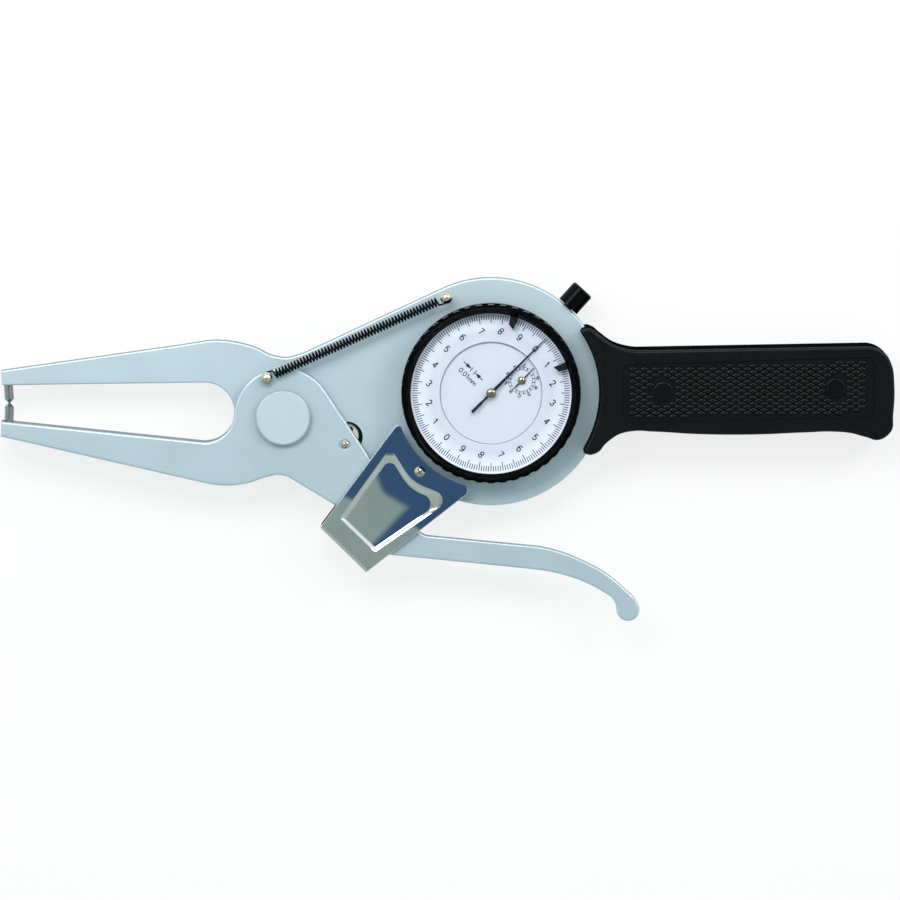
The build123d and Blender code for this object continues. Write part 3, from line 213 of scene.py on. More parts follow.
def satin_metal(name, colour, roughness, grain=0.35, tone=0.03, patch=14.0):
    """Blasted metal: fine even grain and slow patches of tone, with painted shade that makes its sides
    darker than its faces.
    """
    r = Recipe(name)
    at = r.place()
    fine = r.noise(at, grain, detail=4.0, roughness=0.6)
    slow = r.noise(at, patch, detail=2.0, roughness=0.45)
    face = r.blend(r.spread(slow, 0, 1), shade(colour, 1 - tone), shade(colour, 1 + tone))
    r.set(
        # Painted shade: surfaces that face sideways take the darker side tone, standing in for the dark
        # shade along the plates' edges.
        Base_Color=r.blend(r.spread(r.upright(), 0, 1, *SHADED_SIDE_UPRIGHT), SIDE_PAINTED_SHADE, face),
        Metallic=SATIN_METALLIC,
        Roughness=r.spread(fine, roughness - 0.04, roughness + 0.04),
    )
    r.relief(fine, strength=0.1, depth=0.02)
    return r.material


def polished_sheet(name, colour, roughness, turn, stretch=22.0):
    """Bright sheet with faint draw lines along one direction."""
    r = Recipe(name)
    lines = r.noise(r.place((1 / stretch, 1, 1), turn), size=0.16, detail=3.0, roughness=0.7)
    slow = r.noise(r.place(), size=9.0, detail=2.0, roughness=0.5)
    r.set(
        Base_Color=r.blend(r.spread(slow, 0, 1), shade(colour, 0.94), shade(colour, 1.03)),
        Metallic=1.0,
        Roughness=r.spread(lines, roughness, roughness + 0.006),
    )
    return r.material


def turned_metal(name, colour, roughness):
    """Small turned pieces, with faint tool marks."""
    r = Recipe(name)
    at = r.place()
    marks = r.noise(at, size=0.12, detail=2.0, roughness=0.6)
    slow = r.noise(at, size=1.1, detail=2.0, roughness=0.5)
    r.set(
        Base_Color=r.blend(r.spread(slow, 0, 1), shade(colour, 0.88), shade(colour, 1.06)),
        Metallic=1.0,
        Roughness=r.spread(marks, roughness - 0.05, roughness + 0.08),
    )
    r.relief(marks, strength=0.15, depth=0.008)
    return r.material


def moulded(name, colour, roughness, grain=0.5, depth=0.02, strength=0.25, tone=0.12, gloss=0.5):
    """Moulded plastic or rubber with a fine skin, matt on its drafted sides."""
    r = Recipe(name)
    at = r.place()
    skin = r.noise(at, grain, detail=3.0, roughness=0.55)
    slow = r.noise(at, size=11.0, detail=2.0, roughness=0.5)
    tint = r.blend(r.spread(slow, 0, 1), shade(colour, 1 - tone), shade(colour, 1 + tone))
    r.set(
        Base_Color=tint,
        Metallic=0.0,
        Roughness=r.spread(skin, roughness - 0.05, roughness + 0.06),
        Specular_IOR_Level=gloss,
    )
    r.relief(skin, strength, depth)
    side = r.node("ShaderNodeBsdfDiffuse")
    either = r.node("ShaderNodeMixShader")
    r.link(tint, side.inputs["Color"])
    r.link(r.spread(r.upright(), 0, 1, *MOULDED_UPRIGHT), either.inputs["Fac"])
    r.link(side.outputs["BSDF"], either.inputs[1])
    r.link(r.shader.outputs["BSDF"], either.inputs[2])
    r.link(either.outputs["Shader"], r.output.inputs["Surface"])
    return r.material


def glossy_black(name, colour, roughness, gloss):
    """Black anodised or enamelled metal."""
    r = Recipe(name)
    at = r.place()
    skin = r.noise(at, size=0.6, detail=2.0, roughness=0.5)
    slow = r.noise(at, size=8.0, detail=2.0, roughness=0.5)
    r.set(
        Base_Color=r.blend(r.spread(slow, 0, 1), shade(colour, 0.8), shade(colour, 1.3)),
        Metallic=0.0,
        Roughness=r.spread(skin, roughness - 0.03, roughness + 0.04),
        Specular_IOR_Level=gloss,
    )
    r.relief(skin, strength=0.06, depth=0.01)
    return r.material


def painted_dial(name, middle, rim):
    """Matt lacquer with painted light: a deeper tone towards the middle and a lighter one towards the
    rim, evening out the shade that the bezel casts on the dial's edge.
    """
    r = Recipe(name)
    at = r.place()
    speck = r.noise(at, size=0.3, detail=2.0, roughness=0.5)
    offset = r.node("ShaderNodeVectorMath", operation="DISTANCE")
    offset.inputs[1].default_value = (DIAL.x / MM, DIAL.y / MM, DIAL_LEVEL)
    r.link(at, offset.inputs[0])
    # Painted light: the tone lightens outwards to make up for the bezel's shade.
    painted_light_share = r.spread(offset.outputs["Value"], 0, 1, *DIAL_PAINTED_LIGHT_SPAN)
    r.set(
        Base_Color=r.blend(painted_light_share, middle, rim),
        Roughness=r.spread(speck, 0.42, 0.5),
        Specular_IOR_Level=0.3,
    )
    return r.material


def ink(name, colour):
    """Printing ink or matt lacquer, a little uneven."""
    r = Recipe(name)
    uneven = r.spread(r.noise(r.place(), size=0.5), 0, 1)
    r.set(
        Base_Color=r.blend(uneven, shade(colour, 0.9), shade(colour, 1.15)),
        Roughness=0.5,
        Specular_IOR_Level=0.25,
    )
    return r.material


def clear_crystal(name):
    """Clear plastic that lets the light straight through to the dial."""
    r = Recipe(name)
    at = r.place()
    r.set(
        Base_Color=(0.97, 0.985, 1.0),
        Roughness=r.spread(r.noise(at, size=6.0), 0.0, 0.02),
        Transmission_Weight=1.0,
        IOR=1.3,
    )
    straight = r.node("ShaderNodeBsdfTransparent")
    light = r.node("ShaderNodeLightPath")
    either = r.node("ShaderNodeMixShader")
    r.link(light.outputs["Is Shadow Ray"], either.inputs["Fac"])
    r.link(r.shader.outputs["BSDF"], either.inputs[1])
    r.link(straight.outputs["BSDF"], either.inputs[2])
    r.link(either.outputs["Shader"], r.output.inputs["Surface"])
    return r.material


def ruby(name):
    r = Recipe(name)
    at = r.place()
    r.set(
        Base_Color=r.blend(r.noise(at, size=0.7), (0.35, 0.005, 0.03), (0.6, 0.02, 0.08)),
        Roughness=0.08,
        Transmission_Weight=0.3,
        IOR=1.76,
    )
    return r.material


BODY_TONE = linear(200, 219, 229)
JAW_TONE = linear(195, 214, 224)

FINISHES = {
    "body_metal": satin_metal("body_metal_finish", BODY_TONE, 0.4),
    "jaw_metal": satin_metal("jaw_metal_finish", JAW_TONE, 0.4),
    "cap_metal": satin_metal("cap_metal_finish", linear(206, 222, 230), 0.42, grain=0.25, tone=0.02),
    "case_metal": turned_metal("case_metal_finish", linear(200, 205, 210), 0.3),
    "cover_metal": satin_metal("cover_metal_finish", linear(190, 204, 212), 0.45),
    "hard_steel": turned_metal("hard_steel_finish", linear(160, 166, 170), 0.22),
    "bright_steel": turned_metal("bright_steel_finish", linear(220, 213, 196), 0.16),
    "guard_steel": polished_sheet("guard_steel_finish", linear(232, 236, 236), 0.006, 40.0),
    "brass": turned_metal("brass_finish", linear(150, 146, 122), 0.16),
    "spring_bronze": turned_metal("spring_bronze_finish", linear(190, 140, 100), 0.3),
    "spring_black": glossy_black("spring_black_finish", linear(3, 6, 7), 0.2, 0.1),
    "ruby": ruby("ruby_finish"),
    # The dial's two tones are painted light: a darker middle and a lighter rim against the bezel's
    # shade.
    "dial_white": painted_dial("dial_white_finish", linear(186, 192, 203), linear(222, 230, 242)),
    "pointer_black": ink("pointer_black_finish", linear(12, 20, 38)),
    "limit_black": ink("limit_black_finish", linear(8, 12, 15)),
    "bezel_black": glossy_black("bezel_black_finish", linear(2, 4, 4), 0.08, 0.03),
    "knob_black": glossy_black("knob_black_finish", linear(4, 8, 9), 0.2, 0.07),
    "crystal": clear_crystal("crystal_finish"),
    "rubber": moulded("rubber_finish", linear(28, 28, 30), 0.7),
    "washer_plastic": moulded("washer_plastic_finish", linear(238, 240, 228), 0.5),
    "handle_plastic": moulded(
        "handle_plastic_finish", linear(8, 12, 14), 0.3, grain=0.8, depth=0.015, gloss=0.2
    ),
    "plug_plastic": moulded("plug_plastic_finish", linear(7, 9, 11), 0.24, depth=0.01, gloss=0.22),
}
INK = ink("print_ink", linear(16, 20, 38))

# Rounded edges: how wide each shown node's sharp edges are broken, in millimetres
EDGE_WIDTHS = {
    "pivot_cap": 0.2,
    "handle_front": 0.25,
    "handle_back": 0.25,
    "back_cover": 0.25,
    "clamp_knob": 0.15,
    "upper_contact_pin": 0.08,
    "lower_contact_pin": 0.08,
}
EDGE_SEGMENTS = 3
EDGE_ANGLE = 38


def dress_nodes():
    """Finishes and broken edges for the part's own solids."""
    for name, node in NODES.items():
        for holder in node.material_slots:
            holder.material = FINISHES[holder.material.name]
        if name in EDGE_WIDTHS:
            bevel = node.modifiers.new("broken_edges", "BEVEL")
            bevel.width = EDGE_WIDTHS[name] * MM
            bevel.segments = EDGE_SEGMENTS
            bevel.limit_method = "ANGLE"
            bevel.angle_limit = math.radians(EDGE_ANGLE)
            bevel.harden_normals = True


def new_mesh(name, points, faces, material, body, smooth=False):
    mesh = bpy.data.meshes.new(name)
    mesh.from_pydata([tuple(p) for p in points], [], faces)
    mesh.materials.append(material)
    mesh.update()
    if smooth:
        mesh.polygons.foreach_set("use_smooth", [True] * len(mesh.polygons))
    made = bpy.data.objects.new(name, mesh)
    bpy.context.scene.collection.objects.link(made)
    if body:
        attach(made, body)
    return made


# Printing on the dial. Glyphs are one unit high: a width and the strokes of each.
GLYPH_GAP = 0.19
DOT_SIDES = 8


def oval(x, y, half_wide, half_high, start=0, end=360, steps=16):
    """Points on an oval about x, y, from one angle to another."""
    angles = [math.radians(start + (end - start) * k / steps) for k in range(steps + 1)]
    return [(x + half_wide * math.cos(a), y + half_high * math.sin(a)) for a in angles]


SIX = [oval(0.28, 0.31, 0.28, 0.31), oval(0.31, 0.6, 0.31, 0.4, 50, 180, 10) + [(0.0, 0.31)]]
GLYPHS = {
    "0": (0.56, [oval(0.28, 0.5, 0.28, 0.5)]),
    "1": (0.4, [[(0.02, 0.78), (0.26, 1.0), (0.26, 0.0)]]),
    "2": (0.56, [oval(0.28, 0.73, 0.27, 0.27, 170, -40, 12) + [(0.0, 0.0), (0.56, 0.0)]]),
    "3": (
        0.56,
        [oval(0.26, 0.75, 0.25, 0.25, 165, -90, 10), oval(0.27, 0.26, 0.28, 0.26, 90, -165, 12)],
    ),
    "4": (0.56, [[(0.42, 0.0), (0.42, 1.0), (0.0, 0.28), (0.58, 0.28)]]),
    "5": (
        0.56,
        [[(0.52, 1.0), (0.11, 1.0), (0.04, 0.49)] + oval(0.27, 0.32, 0.28, 0.32, 130, -155, 12)],
    ),
    "6": (0.56, SIX),
    "7": (0.56, [[(0.0, 1.0), (0.55, 1.0), (0.2, 0.0)]]),
    "8": (0.56, [oval(0.28, 0.745, 0.24, 0.255), oval(0.28, 0.25, 0.28, 0.25)]),
    "9": (0.56, [[(0.56 - x, 1 - y) for x, y in line] for line in SIX]),
    ".": (0.1, [[(0.05, 0.0), (0.05, 0.08)]]),
    "m": (
        0.8,
        [
            [(0.0, 0.62), (0.0, 0.0)],
            oval(0.2, 0.43, 0.2, 0.19, 180, 0, 8) + [(0.4, 0.0)],
            oval(0.6, 0.43, 0.2, 0.19, 180, 0, 8) + [(0.8, 0.0)],
        ],
    ),
}


class Print:
    """Flat marks with a little thickness, gathered into one mesh."""

    def __init__(self, level):
        self.low = level
        self.high = level + PRINT
        self.points = []
        self.faces = []

    def add(self, outline):
        """A convex flat mark, given counter-clockwise."""
        first = len(self.points)
        count = len(outline)
        for level in (self.low, self.high):
            for p in outline:
                self.points.append((p[0], p[1], level))
        self.faces.append(tuple(first + count + i for i in range(count)))
        self.faces.append(tuple(first + i for i in reversed(range(count))))
        for i in range(count):
            j = (i + 1) % count
            self.faces.append((first + i, first + j, first + count + j, first + count + i))

    def bar(self, start, end, width):
        way = (end - start).normalized()
        side = Vector((-way.y, way.x, 0)) * width / 2
        self.add([start + side, start - side, end - side, end + side])

    def dot(self, centre, width):
        self.add([polar(width / 2, 360 / DOT_SIDES * k, 0, centre) for k in range(DOT_SIDES)])

    def stroke(self, line, width):
        for start, end in zip(line, line[1:]):
            self.bar(start, end, width)
        for joint in line[1:-1]:
            self.dot(joint, width)

    def text(self, words, centre, height, width, squeeze=1.0):
        """Plain figures and letters, drawn upright to the dial's turn."""
        strokes = []
        pen = 0.0
        for letter in words:
            wide, lines = GLYPHS[letter]
            strokes += [[(pen + x, y) for x, y in line] for line in lines]
            pen += wide + GLYPH_GAP
        middle = (pen - GLYPH_GAP) / 2
        turn = Matrix.Rotation(math.radians(DIAL_TURN), 4, "Z")
        for line in strokes:
            places = [Vector(((x - middle) * squeeze, y - 0.5, 0)) * height for x, y in line]
            self.stroke([centre + turn @ place for place in places], width)

    def piece(self, name, body):
        new_mesh(name, self.points, self.faces, INK, body)


# Outer scale: each division's length and width, the numerals, and the line round the inner edge
SCALE_DIVISIONS = 200
TICK_OUTER = 26.15 * MM
TICKS = {"minor": (1.75 * MM, 0.27 * MM), "fifth": (2.8 * MM, 0.27 * MM), "tenth": (3.0 * MM, 0.28 * MM)}
NUMERALS = 20
NUMERAL_R = 20.8 * MM
NUMERAL_HEIGHT = 2.05 * MM
NUMERAL_WIDTH = 0.37 * MM
SCALE_INNER = 16.9 * MM
RIM_LINE_INSET = 0.1 * MM
RIM_LINE_WIDTH = 0.13 * MM
RIM_LINE_STEPS = 144

# Counter: two circles, the divisions between them, and a label at every second one
COUNTER_RING = (3.62 * MM, 4.5 * MM)
COUNTER_RING_WIDTH = 0.14 * MM
COUNTER_DIVISIONS = 20
COUNTER_TICK_WIDTH = 0.3 * MM
COUNTER_LABEL_R = 5.25 * MM
COUNTER_LABEL_HEIGHT = 0.95 * MM
COUNTER_LABEL_WIDTH = 0.22 * MM
COUNTER_LABEL_SQUEEZE = 0.9

# The value of a division, in millimetres along and across the figures' line from the dial's centre: two
# arrows from tail to tip, each against a short stop, and the words
ARROW_ROW = 1.0
ARROWS = ((-13.8, -10.15), (-4.95, -8.5))
ARROW_HEAD_LENGTH = 2.2
ARROW_HEAD_HALF = 0.65
ARROW_WIDTH = 0.34 * MM
STOP_AHEAD = 0.08
STOP_HALF = 0.95
STOP_WIDTH = 0.27 * MM
UNIT_PLACE = (-9.3, -1.66)
UNIT_HEIGHT = 1.55 * MM
UNIT_WIDTH = 0.27 * MM
UNIT_SQUEEZE = 1.12


def print_circle(marks, centre, radius, width, steps=96):
    for step in range(steps):
        start = step * 360 / steps
        end = (step + 1) * 360 / steps
        marks.add(
            [
                polar(radius - width / 2, start, 0, centre),
                polar(radius + width / 2, start, 0, centre),
                polar(radius + width / 2, end, 0, centre),
                polar(radius - width / 2, end, 0, centre),
            ]
        )


def print_scale():
    """What turns with the bezel: divisions, rim line and numerals."""
    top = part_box("scale_ring")[1].z
    marks = Print(top)
    for division in range(SCALE_DIVISIONS):
        kind = "tenth" if division % 10 == 0 else "fifth" if division % 5 == 0 else "minor"
        length, width = TICKS[kind]
        angle = ZERO_ANGLE - division * 360 / SCALE_DIVISIONS
        marks.bar(polar(TICK_OUTER - length, angle, 0, DIAL), polar(TICK_OUTER, angle, 0, DIAL), width)
    marks.piece("scale_divisions", "bezel")
    rim = Print(top)
    print_circle(rim, DIAL, SCALE_INNER + RIM_LINE_INSET, RIM_LINE_WIDTH, RIM_LINE_STEPS)
    rim.piece("scale_rim_line", "bezel")
    numerals = Print(top)
    for label in range(NUMERALS):
        spot = polar(NUMERAL_R, ZERO_ANGLE - 360 / NUMERALS * label, 0, DIAL)
        numerals.text(str(label % 10), spot, NUMERAL_HEIGHT, NUMERAL_WIDTH)
    numerals.piece("scale_numerals", "bezel")


def print_counter():
    """The small counter's scale, which stays with the body."""
    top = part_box("inner_dial")[1].z
    marks = Print(top)
    inner, outer = COUNTER_RING
    for radius in (inner, outer):
        print_circle(marks, COUNTER, radius, COUNTER_RING_WIDTH)
    for division in range(COUNTER_DIVISIONS):
        angle = ZERO_ANGLE + division * 360 / COUNTER_DIVISIONS
        start = polar(inner, angle, 0, COUNTER)
        end = polar(outer, angle, 0, COUNTER)
        marks.bar(start, end, COUNTER_TICK_WIDTH)
        if division % 2 == 0:
            spot = polar(COUNTER_LABEL_R, angle, 0, COUNTER)
            marks.text(
                str(division), spot, COUNTER_LABEL_HEIGHT, COUNTER_LABEL_WIDTH, COUNTER_LABEL_SQUEEZE
            )
    marks.piece("counter_scale", "body")


def print_unit():
    """The value of a division between two arrows."""
    marks = Print(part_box("inner_dial")[1].z)
    turn = Matrix.Rotation(math.radians(DIAL_TURN), 4, "Z")

    def at(u, v):
        return DIAL + turn @ (Vector((u, v, 0)) * MM)

    row = ARROW_ROW
    for tail, tip in ARROWS:
        way = 1 if tip > tail else -1
        head = tip - way * ARROW_HEAD_LENGTH
        marks.bar(at(tail, row), at(head, row), ARROW_WIDTH)
        wings = [at(head, row + ARROW_HEAD_HALF), at(head, row - ARROW_HEAD_HALF)]
        marks.add([at(tip, row)] + (wings if way > 0 else wings[::-1]))
        stop = tip + way * STOP_AHEAD
        marks.bar(at(stop, row - STOP_HALF), at(stop, row + STOP_HALF), STOP_WIDTH)
    marks.text("0.01mm", at(*UNIT_PLACE), UNIT_HEIGHT, UNIT_WIDTH, UNIT_SQUEEZE)
    marks.piece("division_value", "body")


# Return spring: one wire with a hook at each end
WIRE_R = 0.3 * MM
COIL_R = 1.35 * MM
COIL_TURNS = 53.5
HOOK_R = 1.7 * MM
HOOK_BEND = 0.8 * MM
COIL_FROM_BODY_POST = 3.1 * MM
COIL_FROM_JAW_POST = 2.9 * MM

# Where each hook starts on its post, how far it goes round, and how finely the wire is drawn
BODY_HOOK_START = 240
JAW_HOOK_START = -90
HOOK_SWEEP = 150
HOOK_STEPS = 12
BEND_STEPS = 8
COIL_STEPS = 20
WIRE_SIDES = 10


def hermite(p, t, q, u, share):
    """A point on the smooth curve from p to q with the directions t and u, as long as the gap."""
    reach = (q - p).length
    a = share * share
    b = a * share
    return (
        p * (2 * b - 3 * a + 1)
        + t * reach * (b - 2 * a + share)
        + q * (3 * a - 2 * b)
        + u * reach * (b - a)
    )


def spring_line():
    """Points along the wire, from the body's post to the jaw's."""
    origin = Vector((BODY_POST.x, BODY_POST.y, SPRING_LEVEL))
    span = (JAW_POST - BODY_POST).length
    along = (JAW_POST - BODY_POST).normalized()
    up = Vector((0, 0, 1))
    across = up.cross(along)

    def place(s, u, w):
        return origin + along * s + across * u + up * w

    def way(s, u, w):
        return (along * s + across * u + up * w).normalized()

    points = []
    for step in range(HOOK_STEPS + 1):
        a = math.radians(BODY_HOOK_START - HOOK_SWEEP * step / HOOK_STEPS)
        points.append(place(HOOK_R * math.cos(a), HOOK_R * math.sin(a), -HOOK_BEND))
    pitch = (span - COIL_FROM_BODY_POST - COIL_FROM_JAW_POST) / COIL_TURNS
    lead = pitch / (2 * math.pi)
    hook_end = points[-1]
    first = place(COIL_FROM_BODY_POST, COIL_R, 0)
    first_way = way(lead, 0, COIL_R)
    for step in range(1, BEND_STEPS):
        points.append(hermite(hook_end, way(1, 0, 0), first, first_way, step / BEND_STEPS))
    for step in range(round(COIL_TURNS * COIL_STEPS) + 1):
        a = 2 * math.pi * step / COIL_STEPS
        s = COIL_FROM_BODY_POST + pitch * step / COIL_STEPS
        points.append(place(s, COIL_R * math.cos(a), COIL_R * math.sin(a)))
    last = points[-1]
    end_turn = 2 * math.pi * COIL_TURNS
    end_way = way(lead, -COIL_R * math.sin(end_turn), COIL_R * math.cos(end_turn))
    hook = []
    for step in range(HOOK_STEPS + 1):
        a = math.radians(JAW_HOOK_START + HOOK_SWEEP * step / HOOK_STEPS)
        hook.append(place(span + HOOK_R * math.cos(a), HOOK_R * math.sin(a), -HOOK_BEND))
    for step in range(1, BEND_STEPS):
        points.append(hermite(last, end_way, hook[0], way(1, 0, 0), step / BEND_STEPS))
    return points + hook


def tube(line, radius, sides):
    """A round tube along the points, closed at both ends."""
    points = []
    faces = []
    normal = None
    for i, p in enumerate(line):
        way = (line[min(i + 1, len(line) - 1)] - line[max(i - 1, 0)]).normalized()
        if normal is None:
            normal = way.orthogonal().normalized()
        normal = (normal - way * normal.dot(way)).normalized()
        side = way.cross(normal)
        for k in range(sides):
            a = 2 * math.pi * k / sides
            points.append(p + normal * radius * math.cos(a) + side * radius * math.sin(a))
    for i in range(len(line) - 1):
        for k in range(sides):
            j = (k + 1) % sides
            faces.append((i * sides + k, i * sides + j, (i + 1) * sides + j, (i + 1) * sides + k))
    faces.append(tuple(reversed(range(sides))))
    faces.append(tuple((len(line) - 1) * sides + k for k in range(sides)))
    return points, faces


def make_spring():
    """The wire, which stretches from the body's post to the jaw's."""
    points, faces = tube(spring_line(), WIRE_R, WIRE_SIDES)
    finish = FINISHES["spring_black"]
    spring = new_mesh("coil_spring", points, faces, finish, None, smooth=True)
    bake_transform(spring)
    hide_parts("return_spring")


# Handle: rows of low lens-shaped studs over the sunken panel, in millimetres. A stud is drawn as rings,
# each with its share of the stud's outline and of its height.
PANEL_CORNERS = ((58.3, 9.4), (141.95, 11.1), (141.95, 31.4), (58.3, 28.9))
PANEL_LEVEL = 21.3
PANEL_MARGIN = 0.7
STUD_PITCH = (3.8, 1.05)
STUD_HALF = (1.75, 0.95)
STUD_HIGH = 0.34
STUD_RINGS = ((1.0, 0.0), (0.75, 0.6), (0.5, 0.93))
STUD_BOW = 1.6
STUD_SIDES = 12
STUD_POINT = 1e-6
FIRST_STUD = 0.4
PLUGS = ((71.8, 19.8), (129.0, 21.0))
PLUG_CLEAR = 4.6


def on_panel(x, y):
    """Whether a stud at this place stays clear of the panel's edge and the plugs."""
    half_x, half_y = STUD_HALF
    (left, low_left), (right, low_right), (_, top_right), (_, top_left) = PANEL_CORNERS
    share = (x - left) / (right - left)
    low = low_left + (low_right - low_left) * share
    top = top_left + (top_right - top_left) * share
    if not left + half_x + PANEL_MARGIN < x < right - half_x - PANEL_MARGIN:
        return False
    if not low + half_y + PANEL_MARGIN < y < top - half_y - PANEL_MARGIN:
        return False
    return all(math.dist((x, y), plug) > PLUG_CLEAR for plug in PLUGS)


def stud_rim(side):
    """A corner of the stud's lens outline, from -1 to 1 both ways."""
    a = 2 * math.pi * side / STUD_SIDES
    u = math.cos(a)
    if abs(math.sin(a)) <= STUD_POINT:
        return u, 0.0
    return u, math.copysign(1 - abs(u) ** STUD_BOW, math.sin(a))


def stud_places():
    """The middle of each stud, row by row, every second row half a pitch along."""
    (left, low), (right, _), (_, top), _ = PANEL_CORNERS
    pitch_x, pitch_y = STUD_PITCH
    for row in range(int((top - low) / pitch_y) + 1):
        for column in range(int((right - left) / pitch_x) + 1):
            x = left + pitch_x * (column + 0.5 * (row % 2) + FIRST_STUD)
            y = low + pitch_y * row
            if on_panel(x, y):
                yield x, y


def make_studs():
    points = []
    faces = []
    half_x, half_y = STUD_HALF
    sides = range(STUD_SIDES)
    for x, y in stud_places():
        first = len(points)
        for scale, rise in STUD_RINGS:
            for side in sides:
                u, v = stud_rim(side)
                spot = (x + half_x * scale * u, y + half_y * scale * v, PANEL_LEVEL + STUD_HIGH * rise)
                points.append(Vector(spot) * MM)
        for ring in range(len(STUD_RINGS) - 1):
            low = first + ring * STUD_SIDES
            high = low + STUD_SIDES
            for side in sides:
                after = (side + 1) % STUD_SIDES
                faces.append((low + side, low + after, high + after, high + side))
        crown = first + (len(STUD_RINGS) - 1) * STUD_SIDES
        faces.append(tuple(crown + side for side in sides))
        faces.append(tuple(first + side for side in reversed(sides)))
    finish = FINISHES["handle_plastic"]
    new_mesh("grip_studs", points, faces, finish, "body", smooth=True)


# Studio
FLOOR_HALF = 3.0
FLOOR_GLOW = 0.78
FLOOR_TONES = ((0.90, 0.90, 0.90), (0.93, 0.93, 0.93))
OVERHEAD_BLUE = linear(60, 90, 126)
OVERHEAD_GREEN = linear(152, 170, 165)
OVERHEAD_EDGE = linear(176, 192, 182)
HORIZON = (0.2, 0.25, 0.24)
AROUND_HIGH = (1.0, 1.02, 1.05)
AROUND_LOW = (0.42, 0.5, 0.49)
WORLD_STRENGTH = 0.9

# Where one part of the world turns into the next, as the X, Y or Z of a direction
OVERHEAD_START = (0.86, 0.91)
OVERHEAD_INSIDE = (0.976, 0.988)
FAR_START = (0.1025, 0.1035)
WALLS_TURN = (-0.8, 0.5)
LOW_WALLS_TURN = (-0.5, 0.3)
HORIZON_RISE = (0.05, 0.35)

# Lines between the two overhead tones: two directions, by their X and Y, and how soft the line is
NEAR_LINE = ((-0.02, -0.08205), (0.005, -0.09295), 0.0002)
TOP_LINE = ((-0.01344, -0.11478), (-0.01056, -0.11648), 0.0005)
SIDE_LINE = ((-0.0143, -0.11256), (-0.01344, -0.11478), 0.0005)
RIGHT_LINE = ((-0.01523, -0.12194), (-0.01097, -0.1175), 0.0005)

# Lamps: name, place, size and watts. Each is aimed at the frame's origin.
LAMPS = (
    ("key_panel", (-0.14, 0.34, 0.56), (0.5, 0.25), 2.3),
    ("side_panel", (0.45, 0.35, 0.5), (0.2, 0.2), 1.1),
)


def make_floor():
    """Pale paper that shows white behind the gauge and keeps its shadow."""
    half = FLOOR_HALF
    mesh = bpy.data.meshes.new("studio_floor")
    corners = [(-half, -half, 0), (half, -half, 0), (half, half, 0), (-half, half, 0)]
    mesh.from_pydata(corners, [], [(0, 1, 2, 3)])
    floor = bpy.data.objects.new("studio_floor", mesh)
    bpy.context.scene.collection.objects.link(floor)
    r = Recipe("studio_floor_paper")
    paper = r.blend(r.noise(r.place(), size=40.0), *FLOOR_TONES)
    r.set(Base_Color=paper, Roughness=0.9, Specular_IOR_Level=0.1)
    light = r.node("ShaderNodeLightPath")
    seen = r.node("ShaderNodeMath", operation="MAXIMUM")
    shown = r.node("ShaderNodeMath", operation="MAXIMUM")
    share = r.node("ShaderNodeMath", operation="MULTIPLY")
    share.inputs[1].default_value = FLOOR_GLOW
    glow = r.node("ShaderNodeEmission")
    glow.inputs["Strength"].default_value = 1.0
    both = r.node("ShaderNodeMixShader")
    r.link(light.outputs["Is Camera Ray"], seen.inputs[0])
    r.link(light.outputs["Is Glossy Ray"], seen.inputs[1])
    r.link(seen.outputs[0], shown.inputs[0])
    r.link(light.outputs["Is Transmission Ray"], shown.inputs[1])
    r.link(shown.outputs[0], share.inputs[0])
    r.link(share.outputs[0], both.inputs["Fac"])
    r.link(r.shader.outputs["BSDF"], both.inputs[1])
    r.link(glow.outputs["Emission"], both.inputs[2])
    r.link(both.outputs["Shader"], r.output.inputs["Surface"])
    mesh.materials.append(r.material)


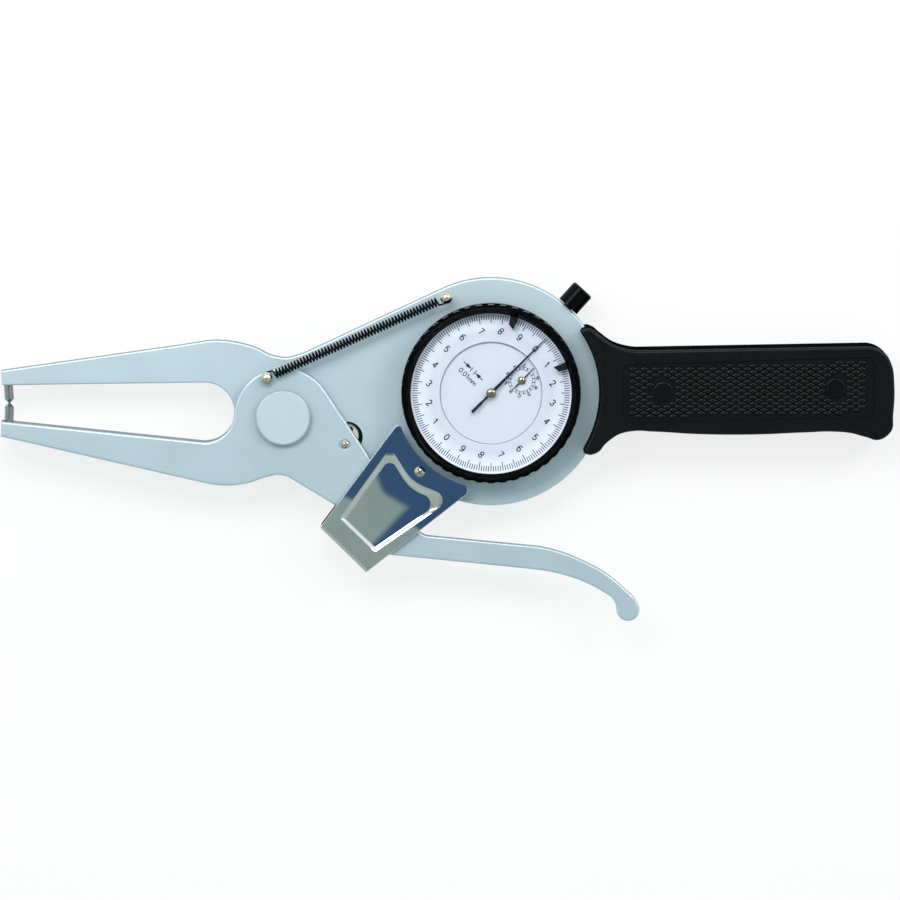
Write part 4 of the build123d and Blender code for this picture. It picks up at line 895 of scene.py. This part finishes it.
def make_world():
    """White all round, greener and dimmer behind the lever, with a two-toned dark opening overhead."""
    world = bpy.data.worlds.new("studio")
    bpy.context.scene.world = world
    world.use_nodes = True
    tree = world.node_tree
    background = tree.nodes["Background"]
    coords = tree.nodes.new("ShaderNodeTexCoord")
    split = tree.nodes.new("ShaderNodeSeparateXYZ")
    tree.links.new(coords.outputs["Generated"], split.inputs[0])
    x, y, z = (split.outputs[axis] for axis in "XYZ")

    def calculate(operation, first, second):
        made = tree.nodes.new("ShaderNodeMath")
        made.operation = operation
        for socket, value in zip(made.inputs, (first, second)):
            if isinstance(value, bpy.types.NodeSocket):
                tree.links.new(value, socket)
            else:
                socket.default_value = value
        return made.outputs[0]

    def step(value, low, high):
        made = tree.nodes.new("ShaderNodeMapRange")
        made.interpolation_type = "SMOOTHSTEP"
        made.inputs["From Min"].default_value = low
        made.inputs["From Max"].default_value = high
        tree.links.new(value, made.inputs["Value"])
        return made.outputs["Result"]

    def mix(factor, first, second):
        made = tree.nodes.new("ShaderNodeMix")
        made.data_type = "RGBA"
        tree.links.new(factor, made.inputs[0])
        for socket, colour in zip([i for i in made.inputs if i.type == "RGBA"], (first, second)):
            if isinstance(colour, bpy.types.NodeSocket):
                tree.links.new(colour, socket)
            else:
                socket.default_value = (*colour, 1)
        return [o for o in made.outputs if o.type == "RGBA"][0]

    def beyond(start, end, softness):
        """The share of a direction that is on the left of the line from start to end."""
        way = (Vector(end) - Vector(start)).normalized()
        across = calculate("SUBTRACT", calculate("MULTIPLY", y, way.x), calculate("MULTIPLY", x, way.y))
        edge = start[1] * way.x - start[0] * way.y
        return step(across, edge - softness, edge + softness)

    near = beyond(*NEAR_LINE)
    corner = calculate("MULTIPLY", beyond(*TOP_LINE), beyond(*SIDE_LINE))
    patch = calculate("MAXIMUM", corner, calculate("SUBTRACT", 1.0, beyond(*RIGHT_LINE)))
    far = calculate("MULTIPLY", step(calculate("MULTIPLY", y, -1.0), *FAR_START), patch)
    overhead = mix(calculate("MAXIMUM", near, far), OVERHEAD_GREEN, OVERHEAD_BLUE)
    opening = mix(step(z, *OVERHEAD_INSIDE), OVERHEAD_EDGE, overhead)
    walls = mix(step(y, *WALLS_TURN), AROUND_LOW, AROUND_HIGH)
    low_walls = mix(step(y, *LOW_WALLS_TURN), HORIZON, walls)
    around = mix(step(z, *HORIZON_RISE), low_walls, walls)
    tree.links.new(mix(step(z, *OVERHEAD_START), around, opening), background.inputs["Color"])
    background.inputs["Strength"].default_value = WORLD_STRENGTH


def make_lamp(name, place, size, power):
    data = bpy.data.lights.new(name, "AREA")
    data.shape = "RECTANGLE"
    data.size, data.size_y = size
    data.energy = power
    lamp = bpy.data.objects.new(name, data)
    lamp.location = place
    lamp.rotation_euler = (-Vector(place)).to_track_quat("-Z", "Y").to_euler()
    bpy.context.scene.collection.objects.link(lamp)


make_camera()
make_world()
make_floor()
for lamp_values in LAMPS:
    make_lamp(*lamp_values)
bpy.context.scene.view_settings.view_transform = "Standard"
dress_nodes()
print_scale()
print_counter()
print_unit()
make_spring()
make_studs()
